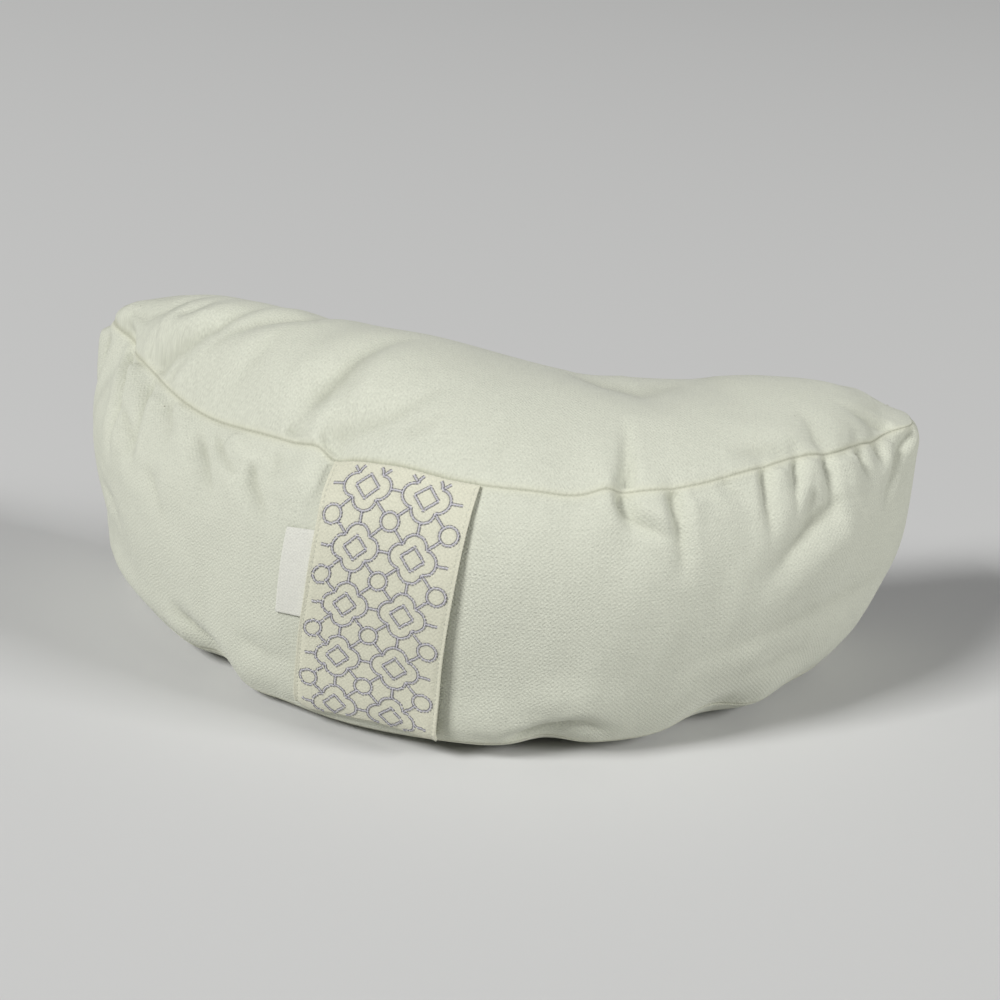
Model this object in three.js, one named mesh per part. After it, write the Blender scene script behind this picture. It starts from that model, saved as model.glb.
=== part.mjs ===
import * as THREE from 'three';

// A crescent meditation cushion in undyed cotton. Millimetres, Z up. X runs from horn to horn, the
// bowed front faces -Y and the hollow faces +Y. The cushion rests on its base panel at Z = 0.

// Top seam outline, seen from above
const FRONT_HALF_WIDTH = 204;
const FRONT_BOW = 161;
const FRONT_POWER = 1.68;
const HOLLOW_BACK = -2;
const HOLLOW_POWER = 2.2;
const HORN_BACK = 50;
const HORN_FLARE = 9;

// Heights
const WALL_HEIGHT = 134;
const BASE_SEAM_LIFT = 10;
const HORN_SEAM_LIFT = 20;
const BASE_CURL = 30;
const HORN_BASE_CURL = 48;

// How the wall's outward belly blends from the front through the horns to the hollow
const TURN_BLEND = 31;
const SIDE_BLEND = 37;
const HORN_BLEND = 22;
const HORN_STARTS_AT = 0.55;
const CORNER_ROUNDING = 24;

// Grid of the cushion: stretches of the front seam, then cells across the top and down the wall
const STRETCHES = [
  { until: 0.32, steps: 32 },
  { until: 0.58, steps: 14 },
  { until: 1.0, steps: 42 },
];
const ACROSS = 16;
const DOWN = 15;
const DOWN_SPREAD = 1.15;

// Crown of the top panel above its seam, from the left horn at -1 to the right horn at 1
const CROWN = [
  { at: -1, height: 52 },
  { at: -0.6, height: 45 },
  { at: -0.2, height: 37 },
  { at: 0.2, height: 23 },
  { at: 0.6, height: 25 },
  { at: 1, height: 20 },
];

// Outward belly of the wall, by the share of its height below the top seam
const BELLY = [
  { down: 0, front: 0, horn: 0, hollow: 0 },
  { down: 0.12, front: 9, horn: 15, hollow: 7 },
  { down: 0.3, front: 15, horn: 21, hollow: 12 },
  { down: 0.55, front: 16, horn: 19, hollow: 14 },
  { down: 0.8, front: 13, horn: 9, hollow: 11 },
  { down: 1, front: 5, horn: -6, hollow: 4 },
];

// Places where a seam leaves its outline. Along is measured on the top seam from the middle of the
// front, positive to the right, on past the horns at 278 and 329 to the middle of the hollow.
const TOP_SEAM_SHIFTS = [
  { along: -168, spread: 32, lift: -5, draw: 0 },
  { along: -96, spread: 9, lift: 2, draw: 0 },
  { along: -84, spread: 8, lift: -3, draw: 1 },
  { along: -50, spread: 16, lift: 2, draw: 0 },
  { along: 30, spread: 14, lift: -2, draw: 0 },
  { along: 47, spread: 7, lift: 2, draw: 0 },
  { along: 58, spread: 7, lift: -2, draw: 3 },
  { along: 125, spread: 26, lift: 3, draw: 2 },
  { along: 165, spread: 28, lift: 5, draw: 4 },
  { along: 215, spread: 22, lift: 2, draw: 2 },
  { along: 272, spread: 16, lift: -2, draw: -7 },
  { along: 326, spread: 20, lift: -9, draw: 1 },
  { along: 395, spread: 24, lift: -3, draw: 3 },
  { along: 520, spread: 30, lift: -5, draw: 4 },
  { along: -440, spread: 30, lift: -3, draw: 3 },
  { along: -326, spread: 22, lift: -2, draw: -10 },
];
const BASE_SEAM_SHIFTS = [
  { along: -150, spread: 14, lift: 5, draw: 5 },
  { along: -125, spread: 16, lift: -2, draw: 0 },
  { along: 32, spread: 14, lift: 4, draw: 3 },
  { along: 138, spread: 26, lift: 8, draw: 4 },
  { along: 210, spread: 24, lift: 3, draw: 2 },
  { along: 360, spread: 20, lift: 4, draw: 3 },
  { along: 470, spread: 26, lift: 5, draw: 4 },
  { along: -380, spread: 24, lift: 5, draw: 4 },
];
const SHIFT_REACH = 26;
const SEAM_HOLD = 6;

// Folds of the wall in along and down, down being measured on the cloth below the top seam. A
// negative depth is a crease drawn in, a positive one stands out.
const WALL_FOLDS = [
  { from: [-276, 0], via: [-252, 20], to: [-236, 50], width: 6, depth: -4 },
  { from: [-246, 6], via: [-236, 24], to: [-222, 60], width: 11, depth: 4 },
  { from: [-218, 2], via: [-211, 16], to: [-202, 40], width: 7, depth: -4 },
  { from: [-204, 4], via: [-198, 22], to: [-188, 52], width: 9, depth: 3 },
  { from: [-189, 4], via: [-184, 16], to: [-182, 34], width: 6, depth: -3 },
  { from: [-164, 8], via: [-157, 20], to: [-148, 40], width: 7, depth: -3 },
  { from: [-152, 4], via: [-145, 16], to: [-136, 30], width: 7, depth: -4 },
  { from: [-134, 6], via: [-128, 12], to: [-120, 18], width: 13, depth: 3 },
  { from: [-130, 18], via: [-125, 32], to: [-114, 46], width: 8, depth: -4 },
  { from: [-222, 30], via: [-202, 52], to: [-170, 76], width: 9, depth: -2 },
  { from: [-176, 108], via: [-158, 122], to: [-138, 134], width: 8, depth: -5 },
  { from: [-128, 108], via: [-108, 114], to: [-92, 114], width: 9, depth: -2 },
  { from: [44, 0], via: [33, 9], to: [20, 24], width: 8, depth: -2 },
  { from: [54, 0], via: [58, 14], to: [72, 22], width: 6, depth: -5 },
  { from: [62, 24], via: [58, 34], to: [52, 46], width: 9, depth: -2 },
  { from: [82, 2], via: [81, 20], to: [84, 44], width: 7, depth: -4 },
  { from: [93, 8], via: [92, 26], to: [92, 50], width: 9, depth: 3 },
  { from: [110, 0], via: [114, 5], to: [120, 12], width: 7, depth: -2 },
  { from: [134, 2], via: [132, 17], to: [136, 36], width: 7, depth: -5 },
  { from: [145, 2], via: [143, 16], to: [144, 34], width: 9, depth: 4 },
  { from: [158, 0], via: [155, 10], to: [152, 22], width: 7, depth: -5 },
  { from: [168, 0], via: [166, 8], to: [163, 16], width: 9, depth: 4 },
  { from: [180, 0], via: [179, 10], to: [176, 22], width: 7, depth: -5 },
  { from: [196, 2], via: [193, 12], to: [190, 24], width: 12, depth: 5 },
  { from: [216, 0], via: [211, 8], to: [208, 18], width: 7, depth: -4 },
  { from: [234, 2], via: [229, 9], to: [226, 18], width: 7, depth: -3 },
  { from: [250, 4], via: [246, 14], to: [240, 28], width: 10, depth: 4 },
  { from: [276, 2], via: [246, 18], to: [220, 36], width: 7, depth: -4 },
  { from: [186, 20], via: [172, 26], to: [160, 34], width: 8, depth: -4 },
  { from: [166, 22], via: [150, 36], to: [126, 52], width: 11, depth: -6 },
  { from: [190, 42], via: [172, 52], to: [148, 66], width: 15, depth: 4 },
  { from: [126, 26], via: [114, 42], to: [100, 56], width: 12, depth: -2 },
  { from: [236, 76], via: [160, 82], to: [66, 90], width: 12, depth: -3 },
  { from: [200, 98], via: [150, 100], to: [96, 106], width: 16, depth: 3 },
  { from: [12, 132], via: [30, 120], to: [50, 124], width: 7, depth: -5 },
  { from: [24, 110], via: [44, 110], to: [66, 114], width: 12, depth: 3 },
  { from: [300, 6], via: [302, 40], to: [298, 80], width: 9, depth: -4 },
  { from: [318, 4], via: [322, 30], to: [328, 60], width: 10, depth: 4 },
  { from: [345, 2], via: [348, 24], to: [356, 48], width: 8, depth: -4 },
  { from: [374, 2], via: [378, 18], to: [380, 36], width: 8, depth: -3 },
  { from: [410, 2], via: [406, 30], to: [414, 66], width: 10, depth: -4 },
  { from: [452, 0], via: [456, 22], to: [450, 50], width: 9, depth: -3 },
  { from: [500, 2], via: [496, 34], to: [504, 70], width: 12, depth: -4 },
  { from: [440, 132], via: [446, 112], to: [438, 90], width: 10, depth: -4 },
  { from: [520, 134], via: [514, 116], to: [518, 98], width: 10, depth: -3 },
  { from: [-300, 4], via: [-302, 34], to: [-296, 74], width: 9, depth: -4 },
  { from: [-316, 4], via: [-318, 28], to: [-326, 58], width: 10, depth: 4 },
  { from: [-338, 2], via: [-344, 22], to: [-352, 52], width: 8, depth: -4 },
  { from: [-382, 2], via: [-380, 20], to: [-388, 40], width: 9, depth: -3 },
  { from: [-425, 2], via: [-430, 30], to: [-422, 62], width: 10, depth: -4 },
  { from: [-470, 2], via: [-466, 18], to: [-472, 40], width: 9, depth: -3 },
  { from: [-520, 2], via: [-524, 30], to: [-516, 62], width: 11, depth: -3 },
  { from: [-470, 134], via: [-466, 112], to: [-474, 92], width: 10, depth: -4 },
  { from: [-400, 132], via: [-404, 116], to: [-396, 100], width: 10, depth: -3 },
];

// Folds of the top panel in X and Y, seen from above
const TOP_FOLDS = [
  { from: [-212, 22], via: [-180, -8], to: [-135, -20], width: 8, depth: -4 },
  { from: [-202, 6], via: [-178, -18], to: [-140, -28], width: 8, depth: 3 },
  { from: [-188, -26], via: [-160, -43], to: [-128, -32], width: 8, depth: -3 },
  { from: [-198, -34], via: [-160, -58], to: [-108, -28], width: 9, depth: -4 },
  { from: [-188, -56], via: [-138, -62], to: [-82, -14], width: 11, depth: -3 },
  { from: [-164, -76], via: [-142, -76], to: [-112, -66], width: 12, depth: -2 },
  { from: [-104, -124], via: [-78, -90], to: [-52, -28], width: 14, depth: -5 },
  { from: [-84, -124], via: [-62, -96], to: [-38, -50], width: 20, depth: 4 },
  { from: [-112, -124], via: [-102, -126], to: [-94, -131], width: 6, depth: -3 },
  { from: [-88, -142], via: [-88, -134], to: [-84, -124], width: 7, depth: -5 },
  { from: [-80, -136], via: [-64, -130], to: [-46, -118], width: 11, depth: -4 },
  { from: [-56, -142], via: [-42, -134], to: [-28, -122], width: 12, depth: -3 },
  { from: [54, -156], via: [55, -126], to: [53, -70], width: 9, depth: -5 },
  { from: [54, -70], via: [60, -50], to: [66, -14], width: 24, depth: -6 },
  { from: [108, -112], via: [134, -96], to: [158, -76], width: 13, depth: -4 },
  { from: [174, -36], via: [186, -40], to: [200, -28], width: 11, depth: -3 },
  { from: [-150, 10], via: [-110, 0], to: [-60, -12], width: 16, depth: 4 },
  { from: [150, 20], via: [170, 8], to: [196, 0], width: 14, depth: -3 },
];

// Embroidered band on the wall, left of the middle, caught in both seams
const BAND_LEFT = [-86, -93];
const BAND_RIGHT = [-13, -20];
const BAND_FROM = 0.02;
const BAND_TO = 0.965;
const BAND_GAP = 1;
const BAND_THICKNESS = 2.4;
const BAND_STAND_OFF = 3.5;
const BAND_CELLS = { across: 12, down: 26 };

// Folded tape label sewn in beside the band
const LABEL_WIDTH = 14.5;
const LABEL_FROM = 41;
const LABEL_TO = 89;
const LABEL_GAP = 0.8;
const LABEL_THICKNESS = 1.2;
const LABEL_LIFT = 1.8;
const LABEL_CELLS = { across: 4, down: 9 };
const SIDE_CLEARANCE = 0.9;

// Smooth curve through a column of a table, read at one place
function read(rows, at, place, column) {
  let i = 0;
  while (i < rows.length - 2 && rows[i + 1][at] < place) i += 1;
  const slope = (k) => {
    const a = rows[Math.max(k - 1, 0)];
    const b = rows[Math.min(k + 1, rows.length - 1)];
    return (b[column] - a[column]) / (b[at] - a[at]);
  };
  const span = rows[i + 1][at] - rows[i][at];
  const t = Math.min(Math.max((place - rows[i][at]) / span, 0), 1);
  const rise = t * t * (3 - 2 * t);
  const lead = t * (1 - t) * (1 - t) * span * slope(i);
  const trail = t * t * (1 - t) * span * slope(i + 1);
  return rows[i][column] * (1 - rise) + rows[i + 1][column] * rise + lead - trail;
}

// Points of a plan curve at given shares of its length
function spaced(curve, shares) {
  const fine = [];
  for (let i = 0; i <= 2000; i += 1) fine.push(curve(i / 2000));
  const run = [0];
  for (let i = 1; i < fine.length; i += 1) {
    run.push(run[i - 1] + fine[i].distanceTo(fine[i - 1]));
  }
  return shares.map((share) => {
    const goal = share * run[run.length - 1];
    let i = 0;
    while (i < run.length - 2 && run[i + 1] < goal) i += 1;
    const part = (goal - run[i]) / (run[i + 1] - run[i]);
    return fine[i].clone().lerp(fine[i + 1], part);
  });
}

// Front seam from the left horn to the right one
function frontSeam(share) {
  const angle = Math.PI * (1 - share);
  const power = 2 / FRONT_POWER;
  const across = Math.sign(Math.cos(angle)) * Math.abs(Math.cos(angle)) ** power;
  return new THREE.Vector2(FRONT_HALF_WIDTH * across, -FRONT_BOW * Math.sin(angle) ** power);
}

// Seam of the hollow, also from left to right
function hollowSeam(share) {
  const side = 2 * share - 1;
  const back = HOLLOW_BACK + (HORN_BACK - HOLLOW_BACK) * Math.abs(side) ** HOLLOW_POWER;
  return new THREE.Vector2((FRONT_HALF_WIDTH + HORN_FLARE) * side, back);
}

function frontShares() {
  const shares = [0];
  let start = 0;
  for (const stretch of STRETCHES) {
    for (let i = 1; i <= stretch.steps; i += 1) {
      shares.push(start + ((stretch.until - start) * i) / stretch.steps);
    }
    start = stretch.until;
  }
  return shares;
}

const bell = (distance, width) => Math.exp(-((distance / width) ** 2));

// Distance from a point to one straight run of a fold, and how far along the run it falls
function toRun(point, a, b) {
  const run = [b[0] - a[0], b[1] - a[1]];
  const reach = [point[0] - a[0], point[1] - a[1]];
  const share = (run[0] * reach[0] + run[1] * reach[1]) / (run[0] ** 2 + run[1] ** 2);
  const held = Math.min(Math.max(share, 0), 1);
  const off = Math.hypot(reach[0] - held * run[0], reach[1] - held * run[1]);
  return { off, held };
}

// Height of all folds at one place of a panel. A fold fades towards its far end.
function foldHeight(folds, point) {
  let height = 0;
  for (const fold of folds) {
    const first = toRun(point, fold.from, fold.via);
    const second = toRun(point, fold.via, fold.to);
    const near = first.off < second.off ? first : second;
    const place = first.off < second.off ? first.held / 2 : 0.5 + second.held / 2;
    const fade = 1 - 0.75 * place ** 2;
    height += fold.depth * fade * bell(near.off, fold.width * 0.75);
  }
  return height;
}

function seamShift(shifts, along) {
  const total = { lift: 0, draw: 0 };
  for (const shift of shifts) {
    const share = bell(along - shift.along, shift.spread);
    total.lift += shift.lift * share;
    total.draw += shift.draw * share;
  }
  return total;
}

// The ring of top seam points with its length along the seam, outward direction and blends
function makeRing(front, hollow) {
  const last = front.length - 1;
  const points = [];
  for (let i = 0; i < last; i += 1) points.push(front[i]);
  for (let j = 0; j < ACROSS; j += 1) points.push(front[last].clone().lerp(hollow[last], j / ACROSS));
  for (let i = last; i > 0; i -= 1) points.push(hollow[i]);
  for (let j = ACROSS; j > 0; j -= 1) points.push(front[0].clone().lerp(hollow[0], j / ACROSS));
  const count = points.length;
  const steps = points.map((p, m) => p.distanceTo(points[(m + 1) % count]));
  const whole = steps.reduce((sum, step) => sum + step, 0);
  const run = [0];
  for (let m = 1; m < count; m += 1) run.push(run[m - 1] + steps[m - 1]);
  const middle = run[last] / 2;
  const along = run.map((d) => (d - middle > whole / 2 ? d - middle - whole : d - middle));
  const share = steps.map((step, m) => (step + steps[(m + count - 1) % count]) / 2);
  const smooth = (values, width) => points.map((p, m) => {
    let sum = 0;
    let weight = 0;
    for (let n = 0; n < count; n += 1) {
      const gap = Math.abs(run[m] - run[n]);
      const part = share[n] * bell(Math.min(gap, whole - gap), width * Math.SQRT2);
      sum += values[n] * part;
      weight += part;
    }
    return sum / weight;
  });
  const ahead = points.map((p, m) => points[(m + 1) % count].clone().sub(points[(m + count - 1) % count]));
  const outX = smooth(ahead.map((a) => a.y / a.length()), TURN_BLEND);
  const outY = smooth(ahead.map((a) => -a.x / a.length()), TURN_BLEND);
  const out = outX.map((x, m) => new THREE.Vector2(x, outY[m]).normalize());
  const onFront = smooth(points.map((p, m) => (m <= last ? 1 : 0)), SIDE_BLEND);
  const hollowStart = last + ACROSS;
  const inHollow = smooth(points.map((p, m) => (m >= hollowStart && m <= hollowStart + last ? 1 : 0)), SIDE_BLEND);
  const side = onFront.map((value, m) => value / (value + inHollow[m]));
  const horn = smooth(points.map((p) => {
    const reach = Math.abs(p.x) / FRONT_HALF_WIDTH;
    return Math.min(Math.max((reach - HORN_STARTS_AT) / (1 - HORN_STARTS_AT), 0), 1) ** 1.5;
  }), HORN_BLEND);
  const roundX = smooth(points.map((p) => p.x), CORNER_ROUNDING);
  const roundY = smooth(points.map((p) => p.y), CORNER_ROUNDING);
  const soft = roundX.map((x, m) => new THREE.Vector2(x, roundY[m]));
  return { points, along, out, side, horn, soft, count, last };
}

// Top panel as rows of points from the front seam to the hollow
function topPanel(front, hollow, ring) {
  const height = BASE_SEAM_LIFT + WALL_HEIGHT;
  return front.map((p, i) => {
    const row = [];
    const side = (2 * i) / ring.last - 1;
    const reach = Math.abs(p.x) / FRONT_HALF_WIDTH;
    const ends = Math.max(1 - reach ** 5, 0) ** 0.6;
    const crown = read(CROWN, 'at', p.x / FRONT_HALF_WIDTH, 'height') * ends;
    for (let j = 0; j <= ACROSS; j += 1) {
      const t = j / ACROSS;
      const arch = (1 - Math.abs(2 * t - 1) ** 2.2) ** 0.78;
      const plan = p.clone().lerp(hollow[i], t);
      row.push(new THREE.Vector3(plan.x, plan.y, height + crown * arch));
      row[j].side = side;
    }
    return row;
  });
}

// Wall as rings of points from the top seam down to the base seam
function wallRings(ring) {
  const height = BASE_SEAM_LIFT + WALL_HEIGHT;
  const rings = [];
  for (let k = 0; k <= DOWN; k += 1) {
    const q = (k / DOWN) ** DOWN_SPREAD;
    const belly = {};
    for (const part of ['front', 'horn', 'hollow']) belly[part] = read(BELLY, 'down', q, part);
    const rounding = Math.sin(Math.PI * q) ** 0.7;
    rings.push(ring.points.map((p, m) => {
      const plan = p.clone().lerp(ring.soft[m], rounding);
      const long = ring.side[m] * belly.front + (1 - ring.side[m]) * belly.hollow;
      const reach = (1 - ring.horn[m]) * long + ring.horn[m] * belly.horn;
      const lift = BASE_SEAM_LIFT + (HORN_SEAM_LIFT - BASE_SEAM_LIFT) * ring.horn[m];
      const z = height * (1 - q) + lift * q;
      return new THREE.Vector3(plan.x + ring.out[m].x * reach, plan.y + ring.out[m].y * reach, z);
    }));
  }
  return rings;
}

// Base panel as rows of points, curling down from its seam to the floor
function basePanel(seam, last) {
  const count = seam.length;
  const front = seam.slice(0, last + 1);
  const hollow = [];
  for (let i = 0; i <= last; i += 1) hollow.push(seam[last + ACROSS + (last - i)]);
  const left = [seam[0]];
  for (let j = 1; j <= ACROSS; j += 1) left.push(seam[count - j]);
  const right = seam.slice(last, last + ACROSS + 1);
  const run = [0];
  for (let i = 1; i <= last; i += 1) run.push(run[i - 1] + front[i].distanceTo(front[i - 1]));
  const whole = run[last];
  const curl = (distance, reach) => Math.max(1 - distance / reach, 0) ** 2;
  const rows = [];
  for (let i = 0; i <= last; i += 1) {
    const s = i / last;
    const wide = front[i].distanceTo(hollow[i]);
    const row = [];
    for (let j = 0; j <= ACROSS; j += 1) {
      const t = j / ACROSS;
      const long = front[i].clone().lerp(hollow[i], t);
      const short = left[j].clone().lerp(right[j], s);
      const frontEnds = front[0].clone().lerp(front[last], s);
      const hollowEnds = hollow[0].clone().lerp(hollow[last], s);
      const point = long.clone().add(short).sub(frontEnds.lerp(hollowEnds, t));
      const edges = (1 - curl(t * wide, BASE_CURL)) * (1 - curl((1 - t) * wide, BASE_CURL));
      const ends = (1 - curl(run[i], HORN_BASE_CURL)) * (1 - curl(whole - run[i], HORN_BASE_CURL));
      point.z = long.z * (1 - edges * ends);
      row.push(point);
    }
    rows.push(row);
  }
  return rows;
}

// One closed shell from the three grids, which share their seam points
function shell(top, rings, base, ring) {
  const points = [];
  const faces = [];
  const add = (p) => points.push(p) - 1;
  const topId = top.map((row) => row.map(add));
  const loop = (grid) => {
    const ids = [];
    for (let i = 0; i < ring.last; i += 1) ids.push(grid[i][0]);
    for (let j = 0; j < ACROSS; j += 1) ids.push(grid[ring.last][j]);
    for (let i = ring.last; i > 0; i -= 1) ids.push(grid[i][ACROSS]);
    for (let j = ACROSS; j > 0; j -= 1) ids.push(grid[0][j]);
    return ids;
  };
  const wallId = [loop(topId)];
  for (let k = 1; k < DOWN; k += 1) wallId.push(rings[k].map(add));
  const baseId = base.map((row) => row.map(add));
  wallId.push(loop(baseId));
  const quad = (a, b, c, d) => faces.push(a, b, c, a, c, d);
  for (let i = 0; i < ring.last; i += 1) {
    for (let j = 0; j < ACROSS; j += 1) {
      quad(topId[i][j], topId[i + 1][j], topId[i + 1][j + 1], topId[i][j + 1]);
      quad(baseId[i][j], baseId[i][j + 1], baseId[i + 1][j + 1], baseId[i + 1][j]);
    }
  }
  for (let k = 0; k < DOWN; k += 1) {
    for (let m = 0; m < ring.count; m += 1) {
      const n = (m + 1) % ring.count;
      quad(wallId[k][m], wallId[k + 1][m], wallId[k + 1][n], wallId[k][n]);
    }
  }
  return { points, faces, topId, wallId };
}

function asGeometry(points, faces) {
  const geometry = new THREE.BufferGeometry();
  geometry.setAttribute('position', new THREE.Float32BufferAttribute(points.flatMap((p) => [p.x, p.y, p.z]), 3));
  geometry.setIndex(faces);
  geometry.computeVertexNormals();
  return geometry;
}

// Seam shifts, spread into the panels on both sides of each seam
function shiftSeams(rings, top, ring) {
  const deep = rings.map((points, k) => points.map((p, m) => {
    let depth = 0;
    for (let n = 1; n <= k; n += 1) depth += rings[n][m].distanceTo(rings[n - 1][m]);
    return depth;
  }));
  const upper = ring.along.map((along) => seamShift(TOP_SEAM_SHIFTS, along));
  const lower = ring.along.map((along) => seamShift(BASE_SEAM_SHIFTS, along));
  const push = (point, shift, m, part) => {
    point.x -= ring.out[m].x * shift.draw * part;
    point.y -= ring.out[m].y * shift.draw * part;
    point.z += shift.lift * part;
  };
  rings.forEach((points, k) => points.forEach((p, m) => {
    push(p, upper[m], m, bell(deep[k][m], SHIFT_REACH));
    push(p, lower[m], m, bell(deep[DOWN][m] - deep[k][m], SHIFT_REACH));
  }));
  top.forEach((row, i) => row.forEach((p, j) => {
    const wide = row[0].distanceTo(row[ACROSS]);
    const m = i === ring.last ? ring.last : i;
    const n = i === 0 ? ring.count - ACROSS : ring.last + ACROSS + (ring.last - i);
    const nearFront = bell((j / ACROSS) * wide, SHIFT_REACH);
    const nearHollow = bell((1 - j / ACROSS) * wide, SHIFT_REACH);
    push(p, upper[m], m, nearFront);
    push(p, upper[n], n, nearHollow);
  }));
  return deep;
}

function makeCushion() {
  const shares = frontShares();
  const front = spaced(frontSeam, shares);
  const hollow = spaced(hollowSeam, shares);
  const ring = makeRing(front, hollow);
  const top = topPanel(front, hollow, ring);
  const rings = wallRings(ring);
  const deep = shiftSeams(rings, top, ring);
  const loop = [];
  for (let i = 0; i < ring.last; i += 1) loop.push(top[i][0]);
  for (let j = 0; j < ACROSS; j += 1) loop.push(top[ring.last][j]);
  for (let i = ring.last; i > 0; i -= 1) loop.push(top[i][ACROSS]);
  for (let j = ACROSS; j > 0; j -= 1) loop.push(top[0][j]);
  rings[0] = loop;
  const base = basePanel(rings[DOWN], ring.last);
  const body = shell(top, rings, base, ring);
  const plain = asGeometry(body.points, body.faces);
  const normal = plain.getAttribute('normal');
  const raise = (id, height) => {
    const p = body.points[id];
    p.x += normal.getX(id) * height;
    p.y += normal.getY(id) * height;
    p.z += normal.getZ(id) * height;
  };
  for (let i = 1; i < ring.last; i += 1) {
    for (let j = 1; j < ACROSS; j += 1) {
      const id = body.topId[i][j];
      raise(id, foldHeight(TOP_FOLDS, [body.points[id].x, body.points[id].y]));
    }
  }
  for (let k = 1; k < DOWN; k += 1) {
    for (let m = 0; m < ring.count; m += 1) {
      const edge = Math.min(deep[k][m], deep[DOWN][m] - deep[k][m]);
      const free = 1 - bell(edge, SEAM_HOLD);
      raise(body.wallId[k][m], free * foldHeight(WALL_FOLDS, [ring.along[m], deep[k][m]]));
    }
  }
  const geometry = asGeometry(body.points, body.faces);
  return { geometry, body, ring, deep };
}

// Place and outward direction on the finished wall, for pieces that lie on it
function onWall(cushion, along, depth) {
  const { body, ring, deep } = cushion;
  let m = 0;
  while (m < ring.last - 1 && ring.along[m + 1] < along) m += 1;
  const part = (along - ring.along[m]) / (ring.along[m + 1] - ring.along[m]);
  let k = 0;
  while (k < DOWN - 1 && deep[k + 1][m] < depth) k += 1;
  const drop = Math.min((depth - deep[k][m]) / (deep[k + 1][m] - deep[k][m]), 1);
  const normals = cushion.geometry.getAttribute('normal');
  const place = new THREE.Vector3();
  const out = new THREE.Vector3();
  const corners = [[0, 0], [1, 0], [0, 1], [1, 1]];
  for (const [dm, dk] of corners) {
    const weight = (dm ? part : 1 - part) * (dk ? drop : 1 - drop);
    const id = body.wallId[k + dk][m + dm];
    place.addScaledVector(body.points[id], weight);
    out.addScaledVector(new THREE.Vector3().fromBufferAttribute(normals, id), weight);
  }
  return { place, out: out.normalize() };
}

// A sheet over the wall: an inner grid, an outer grid one thickness further out, and its edges
function sheet(cushion, cells, thickness, locate) {
  const points = [];
  const faces = [];
  const inner = [];
  const outer = [];
  for (let i = 0; i <= cells.down; i += 1) {
    inner.push([]);
    outer.push([]);
    for (let j = 0; j <= cells.across; j += 1) {
      const spot = locate(j / cells.across, i / cells.down);
      const { place, out } = onWall(cushion, spot.along, spot.depth);
      inner[i].push(points.push(place.clone().addScaledVector(out, spot.gap)) - 1);
      outer[i].push(points.push(place.clone().addScaledVector(out, spot.gap + thickness)) - 1);
    }
  }
  const quad = (a, b, c, d) => faces.push(a, b, c, a, c, d);
  for (let i = 0; i < cells.down; i += 1) {
    for (let j = 0; j < cells.across; j += 1) {
      quad(outer[i][j], outer[i + 1][j], outer[i + 1][j + 1], outer[i][j + 1]);
      quad(inner[i][j], inner[i][j + 1], inner[i + 1][j + 1], inner[i + 1][j]);
    }
    quad(inner[i][0], inner[i + 1][0], outer[i + 1][0], outer[i][0]);
    const j = cells.across;
    quad(outer[i][j], outer[i + 1][j], inner[i + 1][j], inner[i][j]);
  }
  for (let j = 0; j < cells.across; j += 1) {
    const i = cells.down;
    quad(inner[0][j], outer[0][j], outer[0][j + 1], inner[0][j + 1]);
    quad(outer[i][j], inner[i][j], inner[i][j + 1], outer[i][j + 1]);
  }
  return asGeometry(points, faces);
}

const mix = (a, b, share) => a + (b - a) * share;
const cushion = makeCushion();
const wallLength = cushion.deep[DOWN][Math.round(cushion.ring.last / 2)];

const bandGeometry = sheet(cushion, BAND_CELLS, BAND_THICKNESS, (across, down) => {
  const share = mix(BAND_FROM, BAND_TO, down);
  const along = mix(mix(...BAND_LEFT, share), mix(...BAND_RIGHT, share), across);
  const standOff = BAND_STAND_OFF * across ** 3 * down;
  return { along, depth: share * wallLength, gap: BAND_GAP + standOff };
});

const labelGeometry = sheet(cushion, LABEL_CELLS, LABEL_THICKNESS, (across, down) => {
  const depth = mix(LABEL_FROM, LABEL_TO, down);
  const right = mix(...BAND_LEFT, depth / wallLength) - SIDE_CLEARANCE;
  const along = right - LABEL_WIDTH * (1 - across);
  return { along, depth, gap: LABEL_GAP + LABEL_LIFT * (1 - across) };
});

function piece(name, geometry, colour) {
  const mesh = new THREE.Mesh(geometry, new THREE.MeshStandardMaterial({ color: colour, roughness: 0.9 }));
  mesh.name = name;
  return mesh;
}

const pieces = [
  piece('cushion', cushion.geometry, 0xe4e2d2),
  piece('embroidered_band', bandGeometry, 0xe9e6d8),
  piece('label', labelGeometry, 0xf0efe8),
];

// The origin is on the floor under the middle of the whole cushion
const group = new THREE.Group();
group.name = 'crescent_meditation_cushion';
const box = new THREE.Box3();
for (const mesh of pieces) box.expandByObject(mesh);
for (const mesh of pieces) {
  mesh.geometry.translate(-(box.min.x + box.max.x) / 2, -(box.min.y + box.max.y) / 2, -box.min.z);
  group.add(mesh);
}

export default group;
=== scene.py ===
"""A filled crescent floor cushion in undyed cotton, with an embroidered band and a tape label."""
import math
from collections import namedtuple
from functools import lru_cache

import bpy
import numpy as np
from mathutils import Matrix, Vector
from mathutils.bvhtree import BVHTree


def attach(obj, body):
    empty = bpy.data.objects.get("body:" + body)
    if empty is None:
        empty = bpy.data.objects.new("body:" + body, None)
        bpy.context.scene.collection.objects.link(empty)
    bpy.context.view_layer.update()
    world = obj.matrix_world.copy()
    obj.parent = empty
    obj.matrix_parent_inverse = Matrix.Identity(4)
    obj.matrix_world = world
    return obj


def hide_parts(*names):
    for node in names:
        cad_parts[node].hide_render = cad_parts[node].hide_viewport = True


bl_info = {
    "name": "Crescent Floor Cushion",
    "version": (1, 0, 0),
    "blender": (4, 5, 0),
    "location": "View3D > Sidebar > Cushion",
    "description": "Builds a filled crescent floor cushion with an embroidered band and a label",
    "category": "Add Mesh",
}

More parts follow.
